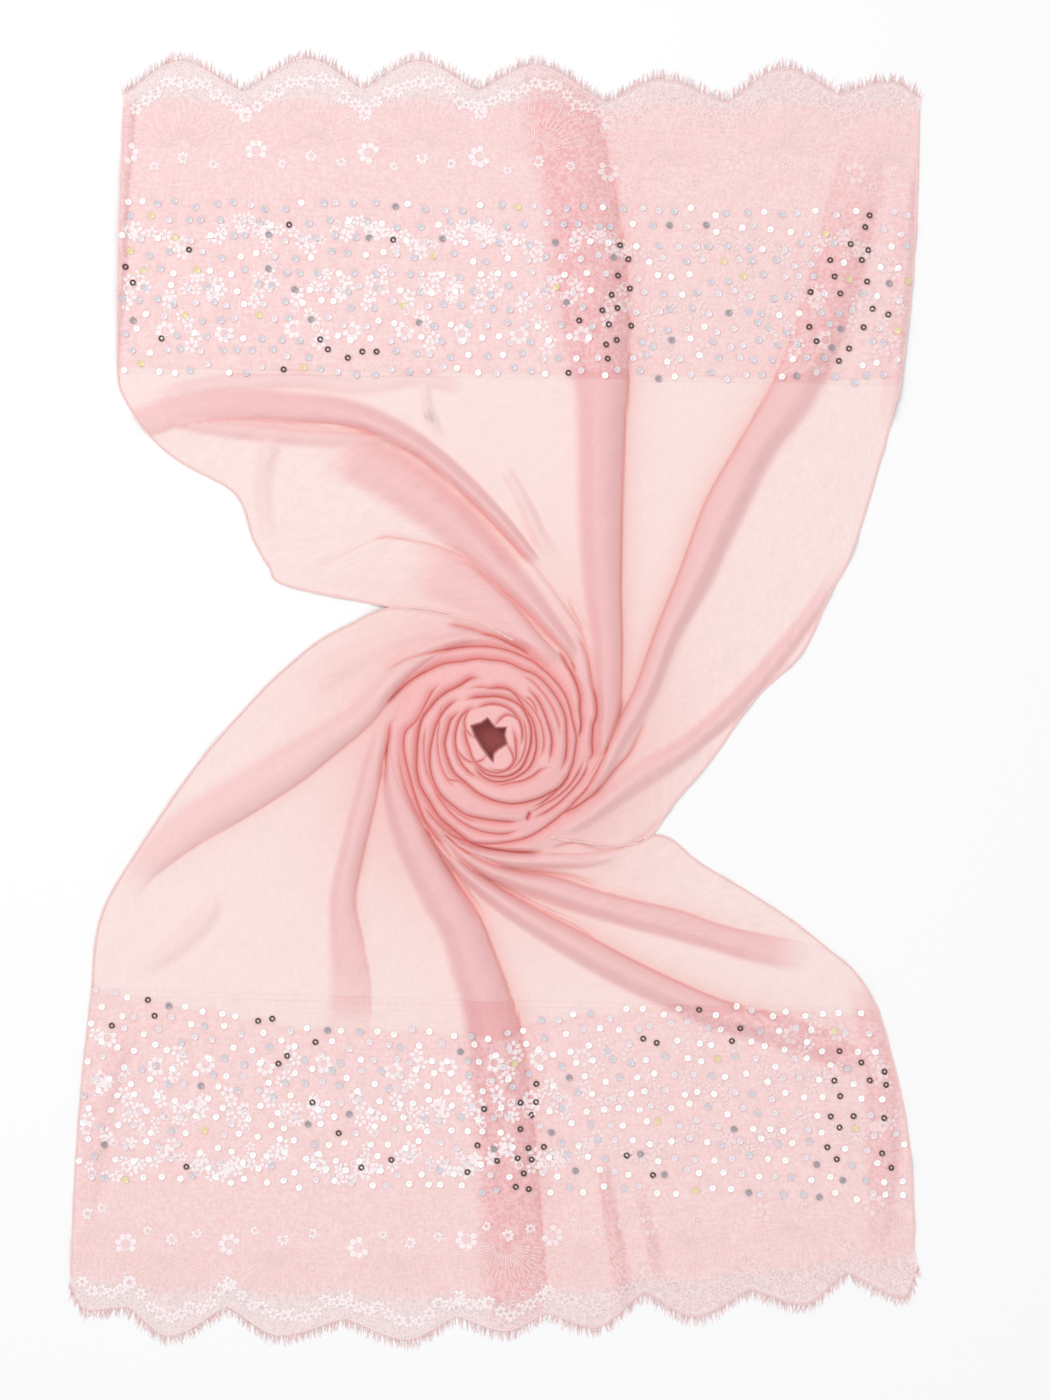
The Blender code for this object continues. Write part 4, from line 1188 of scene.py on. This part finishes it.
def petals(name, starts, angles, length, width):
    """Small raised leaves of eight corners, pointing away from their starts."""
    starts, angles = np.asarray(starts), np.asarray(angles)
    keep = on_border(name, starts, 4.0)
    starts, angles = starts[keep], angles[keep]
    turn = np.arange(8) * math.pi / 4
    shape = np.stack((0.5 * length * (1 + np.cos(turn)), 0.5 * width * np.sin(turn)), axis=1)
    spin = np.stack((np.cos(angles), -np.sin(angles), np.sin(angles), np.cos(angles)), axis=1)
    corners = np.einsum("nij,kj->nki", spin.reshape(-1, 2, 2), shape) + starts[:, None, :]
    plan = np.concatenate((corners, corners.mean(axis=1, keepdims=True)), axis=1)
    points = on_lace(plan.reshape(-1, 2), EMBROIDERY_LIFT)
    points[8::9, 2] += 0.5
    side = np.arange(0, 8, 2)
    quads = np.stack((side, side + 1, (side + 2) % 8, np.full(4, 8)), axis=1)
    faces = np.arange(len(starts))[:, None, None] * 9 + quads[None]
    return points, faces.reshape(-1, 4)


def ring_path(centre, radius, count=12):
    """A closed ring of plan points."""
    turn = np.linspace(0.0, 2 * math.pi, count)
    return np.stack((centre[0] + radius * np.cos(turn), centre[1] + radius * np.sin(turn)), axis=1)


class Motifs:
    """Collects cords, rings and petals of one border by size."""

    def __init__(self):
        self.cords = {}
        self.leaves = {}

    def cord(self, path, width):
        self.cords.setdefault(width, []).append(path)

    def leaf_ring(self, centre, angles, reach, size, plump):
        """Petals that point away from a centre and start a little way out."""
        key = (round(size, 1), plump)
        starts, ways = self.leaves.setdefault(key, ([], []))
        starts.extend(np.asarray(centre) + reach * np.stack((np.cos(angles), np.sin(angles)), 1))
        ways.extend(angles)

    def blossom(self, centre, size, turn, count=5):
        """A small flower: petals that leave its middle open."""
        angles = turn + np.arange(count) * 2 * math.pi / count
        self.leaf_ring(centre, angles, 0.2 * size, size, 0.8)

    def open_flower(self, centre, size, turn):
        """A ring of plump petals with a gap in it, as if seen from the side."""
        self.cord(ring_path(centre, 0.36 * size), CORD)
        angles = turn + np.arange(6) * math.radians(49)
        self.leaf_ring(centre, angles, 0.3 * size, 0.72 * size, 0.95)

    def parts(self, name):
        """Mesh parts of everything that was collected."""
        made = [cord_strips(name, paths, width) for width, paths in self.cords.items()]
        for (size, plump), (starts, angles) in self.leaves.items():
            made.append(petals(name, starts, angles, 0.62 * size, 0.62 * plump * size))
        return made


# %% [markdown]
# Going round one scallop after the other, as the loom does: a fan of ribs inside the scallop, open
# flowers and curved sprays on the ground above it, and small rings and blossoms along its edge. The
# fans are worked in a thinner yarn and are a piece of their own.

# %% Embroider both borders
# Open flowers and sprays: share of the scallop's width, distance in from its peak, size or lean.
OPEN_FLOWERS = ((-0.43, -76, 12.5), (0.03, -80, 7.0), (-0.21, -87, 5.5), (0.28, -85, 6.0),
                (-0.3, -186, 9.0), (0.28, -192, 9.0), (0.02, -150, 8.0), (-0.12, -222, 11.0),
                (0.37, -224, 11.0), (-0.42, -140, 7.0))
SPRAYS = ((-0.34, -112, 0.5, 8), (0.3, -116, -0.6, 8), (0.0, -128, 0.2, 7), (-0.1, -168, -0.5, 7),
          (0.36, -158, 0.5, 6), (-0.42, -170, 0.4, 6), (0.1, -204, -0.3, 6))


FAN_RIBS = 23
FAN_INWARD = 72
FAN_RINGS = ((8.0, 19.0), (21.0, 29.0), (31.0, 38.0))
EDGE_POINTS = 601
CORD_POINTS = 12


def fan_ribs(motifs, middle, base_y, side):
    """Ribs in three rings, spread like a fan inside a scallop."""
    for rib in range(FAN_RIBS):
        angle = math.radians(6 + rib * 7.6)
        uneven = 2.0 * math.sin(2.0 * rib)
        for first, last in FAN_RINGS:
            reach = np.linspace(first, last + uneven * (last == FAN_RINGS[-1][-1]), 4)
            motifs.cord(np.stack((middle + 1.1 * reach * np.cos(angle),
                                  base_y + side * reach * np.sin(angle)), axis=1), FINE_CORD)


def flowers_and_sprays(motifs, place, scallop, width, side):
    """The open flowers and curved sprays of one repeat."""
    for dx, inward, size in OPEN_FLOWERS:
        centre = (scallop.peak_x + dx * width, scallop.peak_y + side * inward)
        motifs.open_flower(centre, size, place + 5 * dx + 0.6)
    for spray, (dx, inward, lean, count) in enumerate(SPRAYS):
        for bud in range(count):
            reach = 6.6 * bud
            turn = lean + 0.17 * bud * (-1) ** spray + math.radians(90)
            centre = (scallop.peak_x + dx * width + reach * math.cos(turn)
                      + 2.6 * math.sin(2.3 * bud + spray),
                      scallop.peak_y + side * (inward - 30 + reach * math.sin(turn)))
            if bud % 3 == 2:
                motifs.cord(ring_path(centre, 2.8), CORD)
            else:
                motifs.blossom(centre, 7.4 - 0.3 * bud, bud + place)


def edge_rings(motifs, place, scallop, width, side, scallops):
    """Rings and blossoms along the edge of one scallop."""
    steps = max(6, int(abs(width) / 8.2))
    for step in range(steps + 1):
        x = scallop.valley_x + width * step / steps
        y = scallop_edge(scallops, np.array([x]))[0] - side * 7.5
        motifs.cord(ring_path((x, y), 2.5 + 0.5 * math.sin(1.9 * step)), FINE_CORD)
        drop = 8.0 + 2.5 * math.sin(1.3 * step + place)
        if step % 3:
            motifs.blossom((x + 3.0, y - side * drop), 6.4, step + place, 6)
        else:
            motifs.open_flower((x + 2.0, y - side * (drop + 3)), 8.0, step + place)
        motifs.cord(ring_path((x - 3.0, y - side * (drop + 9)), 1.9), EDGE_CORD)


def embroider(name):
    """All motifs of one border."""
    side, scallops = SIDES[name]
    dense, faint = Motifs(), Motifs()
    for place, (scallop, after) in enumerate(zip(scallops, scallops[1:])):
        width = after.valley_x - scallop.valley_x
        fan_ribs(faint, scallop.peak_x, scallop.peak_y - side * FAN_INWARD, side)
        flowers_and_sprays(dense, place, scallop, width, side)
        edge_rings(dense, place, scallop, width, side, scallops)
    edge_x = np.linspace(scallops[0].valley_x + 1, scallops[-1].valley_x - 1, EDGE_POINTS)
    edge = np.stack((edge_x, scallop_edge(scallops, edge_x) - side * 1.6), axis=1)
    for first in range(0, EDGE_POINTS - CORD_POINTS, CORD_POINTS - 1):
        dense.cord(edge[first:first + CORD_POINTS], EDGE_CORD)
    short = name.replace("lace_cloth", "")
    return [joined(short + "embroidery", dense.parts(name), EMBROIDERY, None),
            joined(short + "fans", faint.parts(name), FANS, 0.0)]


EMBROIDERY = cloth_material("embroidery yarn", "FFF1F2", "F7D3D2", PAINTED_CREASE_SHADE_LACE, threads=1600.0)
FANS = cloth_material("fan yarn", "FFE2E0", "F9D5D6", PAINTED_CREASE_SHADE_LACE, threads=1600.0)
embroideries = {name: embroider(name) for name in laces}

# %% [markdown]
# ## Sequins
# Cupped sequins, 5.4 mm wide with a hole in the middle, are sewn over the inner part of each border in
# loose staggered rows. Most are clear or pearly. Where a fold tips them away from the light they
# reflect the dark part of the room and look like small dark rings. Those places were listed after
# the photo, and the tone of each sequin is drawn with them in mind.

# %% Sequins
SEQUIN_RADIUS = 2.7
ROW_STEP = 13.6
PLACE_STEP = 14.6
SEQUIN_CORNERS = 14
SEQUIN_POINTS = 3 * SEQUIN_CORNERS
SLOPE_REACH = 2.5
# Colours of the tones, of which the last is a painted dark reflection, and the share of each tone in a
# border
DARK_REFLECTION_TONE = 5
SEQUIN_HEX = ("FFFFFF", "EFE3E8", "DAD5DD", "A79DA3", "EBDDA8", "46302F")
UPPER_TONES = (0.24, 0.31, 0.35, 0.05, 0.04, 0.01)
LOWER_TONES = (0.56, 0.24, 0.14, 0.03, 0.01, 0.02)
# Places where a dark reflection is painted on sequins: x, y, half width, half height, share of them
PAINTED_REFLECTION_PLACES = ((292, 322, 36, 52, 0.42), (318, 384, 14, 36, 0.5), (104, 318, 15, 70, 0.72),
              (56, 330, 12, 80, 0.15), (-98, 286, 62, 17, 0.3), (-302, 308, 8, 60, 0.3),
              (-304, -256, 32, 15, 0.4), (-190, -278, 74, 24, 0.16), (30, -368, 16, 58, 0.6),
              (-10, -372, 14, 60, 0.2), (306, -336, 38, 60, 0.42), (172, -272, 74, 28, 0.16),
              (-186, -384, 110, 34, 0.06))


def sequin_places(name, rows):
    """Plan places of the sequins of one border, in loose staggered rows."""
    side, _ = SIDES[name]
    places = []
    for row in range(rows):
        start = side * (abs(inner_edge(name, np.zeros(1))[0]) + 4.0 + row * ROW_STEP)
        left, right = band_sides(name, np.array([start]))
        x = np.arange(left[0] + 3.5 + (row % 2) * PLACE_STEP / 2, right[0] - 3, PLACE_STEP)
        dip = sag(x, np.full(len(x), side))
        y = inner_edge(name, x) + side * (3.0 + dip + row * (ROW_STEP - dip / rows))
        spot = np.stack((x, y), axis=1)
        places.append(spot + chance.uniform(-3.4, 3.4, spot.shape))
    places = np.vstack(places)
    left, right = band_sides(name, places[:, 1])
    places[:, 0] = np.clip(places[:, 0], left + 2.5, right - 2.5)
    return places


def sequin_tones(places, shares):
    """Which tone each sequin shows."""
    draw = chance.uniform(0.0, 1.0, len(places))
    tone = np.minimum(np.searchsorted(np.cumsum(shares), draw), len(shares) - 1)
    painted_reflection_share = np.zeros(len(places))
    for x, y, half_width, half_height, share in PAINTED_REFLECTION_PLACES:
        near = np.hypot((places[:, 0] - x) / half_width, (places[:, 1] - y) / half_height) < 1
        painted_reflection_share = np.where(near, np.maximum(painted_reflection_share, share), painted_reflection_share)
    # In those places a painted dark reflection replaces the sequin's tone.
    return np.where(chance.uniform(0.0, 1.0, len(places)) < painted_reflection_share, DARK_REFLECTION_TONE, tone)


def sequin_mesh(name, places, shares):
    """All sequins of one border as one mesh with a colour for each."""
    count = len(places)
    height = height_at(places)
    slopes = []
    for step in ((SLOPE_REACH, 0.0), (0.0, SLOPE_REACH)):
        rise = height_at(places + step) - height_at(places - step)
        slopes.append(rise / (2 * SLOPE_REACH))
    slopes = np.clip(np.stack(slopes, axis=1), -0.9, 0.9) + chance.normal(0.0, 0.06, (count, 2))
    tones = sequin_tones(places, shares)
    circle = np.tile(np.arange(SEQUIN_CORNERS) * 2 * math.pi / SEQUIN_CORNERS, 3)
    reach = np.repeat([[0.35, 1.8, SEQUIN_RADIUS], [1.05, 1.7, SEQUIN_RADIUS - 0.2]],
                      SEQUIN_CORNERS, axis=1)
    reach = reach[(tones == DARK_REFLECTION_TONE).astype(int)]
    local = np.dstack((reach * np.cos(circle), reach * np.sin(circle)))
    rise = np.repeat((0.0, 0.2, 0.5), SEQUIN_CORNERS)
    plan = places[:, None, :] + local
    tilt = (slopes[:, None, :] * local).sum(axis=2)
    level = (height - REST_LEVEL + LACE_LIFT + 0.6)[:, None] + np.abs(slopes).sum(axis=1)[:, None] * 0.6
    vertices = np.dstack((plan, level + tilt + rise)).reshape(-1, 3)
    faces = tube_faces(3, SEQUIN_CORNERS, count)
    colours = np.array([linear(text) for text in SEQUIN_HEX])[tones]
    piece = new_piece(name, to_blender(vertices), faces, SEQUIN)
    layer = piece.data.attributes.new("tone", "FLOAT_COLOR", "POINT")
    on_points = np.repeat(colours, SEQUIN_POINTS, axis=0).astype(np.float32)
    layer.data.foreach_set("color", on_points.ravel())
    print(name, "has", count, "sequins")
    return piece


def sequin_material():
    """Thin glossy film whose colour is stored on each sequin."""
    material, tree, shader = new_material("sequin film", {"Roughness": 0.3, "Coat Weight": 0.35,
                                                          "Coat Roughness": 0.1})
    place = add_node(tree, "ShaderNodeTexCoord")
    cloud = add_node(tree, "ShaderNodeTexNoise", {"Scale": 420.0})
    tree.links.new(place.outputs["Object"], cloud.inputs["Vector"])
    wobble = mapped(tree, cloud.outputs["Fac"], (0.0, 1.0), (0.88, 1.1))
    tone = stored(tree, "tone", "Color")
    tree.links.new(scaled(tree, tone, wobble), shader.inputs["Base Color"])
    return material


SEQUIN = sequin_material()
sequins = {
    "upper_lace_cloth": sequin_mesh("upper_sequins", sequin_places("upper_lace_cloth", 11),
                                    UPPER_TONES),
    "lower_lace_cloth": sequin_mesh("lower_sequins", sequin_places("lower_lace_cloth", 12),
                                    LOWER_TONES),
}

# %% [markdown]
# ## Table, light and camera
# The photo is high key: a white table under a broad soft light that comes a little from the upper
# left, so folds have a faint darker side on their right. The camera looks straight down.

# %% Floor, lights, camera
scene = bpy.context.scene
scene.view_settings.view_transform = "Standard"
scene.view_settings.look = "None"

floor_mesh = bpy.data.meshes.new("floor")
floor_mesh.from_pydata([(-4, -4, 0), (4, -4, 0), (4, 4, 0), (-4, 4, 0)], [], [(0, 1, 2, 3)])
floor = bpy.data.objects.new("floor", floor_mesh)
scene.collection.objects.link(floor)
white, _, _ = new_material("white table", {"Base Color": (0.96, 0.96, 0.965, 1.0), "Roughness": 0.9})
floor_mesh.materials.append(white)

world = bpy.data.worlds.new("studio")
world.use_nodes = True
sky = world.node_tree.nodes["Background"]
sky.inputs["Color"].default_value = (0.985, 0.99, 1.0, 1.0)
sky.inputs["Strength"].default_value = 0.7
scene.world = world


def soft_light(name, place, size, power):
    """A square softbox that faces the stole."""
    lamp = bpy.data.lights.new(name, "AREA")
    lamp.shape = "SQUARE"
    lamp.size = size
    lamp.energy = power
    holder = bpy.data.objects.new(name, lamp)
    holder.location = place
    holder.rotation_euler = (-Vector(place)).to_track_quat("-Z", "Y").to_euler()
    scene.collection.objects.link(holder)


soft_light("key", (-1.2, 1.1, 2.5), 1.6, 28.0)
soft_light("fill", (1.2, -1.1, 2.6), 2.0, 12.0)

eye = bpy.data.cameras.new("eye")
eye.lens = 94.0
eye.sensor_width = 36.0
eye.clip_end = 20.0
camera = bpy.data.objects.new("eye", eye)
camera.location = (0.0246, 0.0003, 3.0)
scene.collection.objects.link(camera)
scene.camera = camera

# %% [markdown]
# ## Putting each piece on the body
# Every piece rides on the model's one body. The solids that the sheets and the two eyelash edges
# dress are hidden.

# %% Attaching the pieces and hiding the solids they dress
for piece, node, slot in (
        (rosette, "rosette", "wound_voile"),
        (fields["upper_voile"], "upper_field", "voile"),
        (fields["lower_voile"], "lower_field", "voile"),
        (laces["upper_lace_cloth"], "upper_lace", "lace"),
        (laces["lower_lace_cloth"], "lower_lace", "lace"),
        (lashes["upper_lashes"], "upper_fringe", "fringe"),
        (lashes["lower_lashes"], "lower_fringe", "fringe")):
    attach(piece, "root")
    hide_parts(node)
small_work = [(piece, "voile") for piece in (*hems.values(), *seams.values())]
small_work += [(piece, "lace") for pair in embroideries.values() for piece in pair]
small_work += [(piece, "sequins") for piece in sequins.values()]
for piece, slot in small_work:
    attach(piece, "root")


def area_of(piece):
    """Surface of a piece in square metres."""
    return sum(face.area for face in piece.data.polygons)


for piece in (rosette, *fields.values(), *laces.values()):
    print(piece.name, "surface", round(area_of(piece), 4), "square metres")
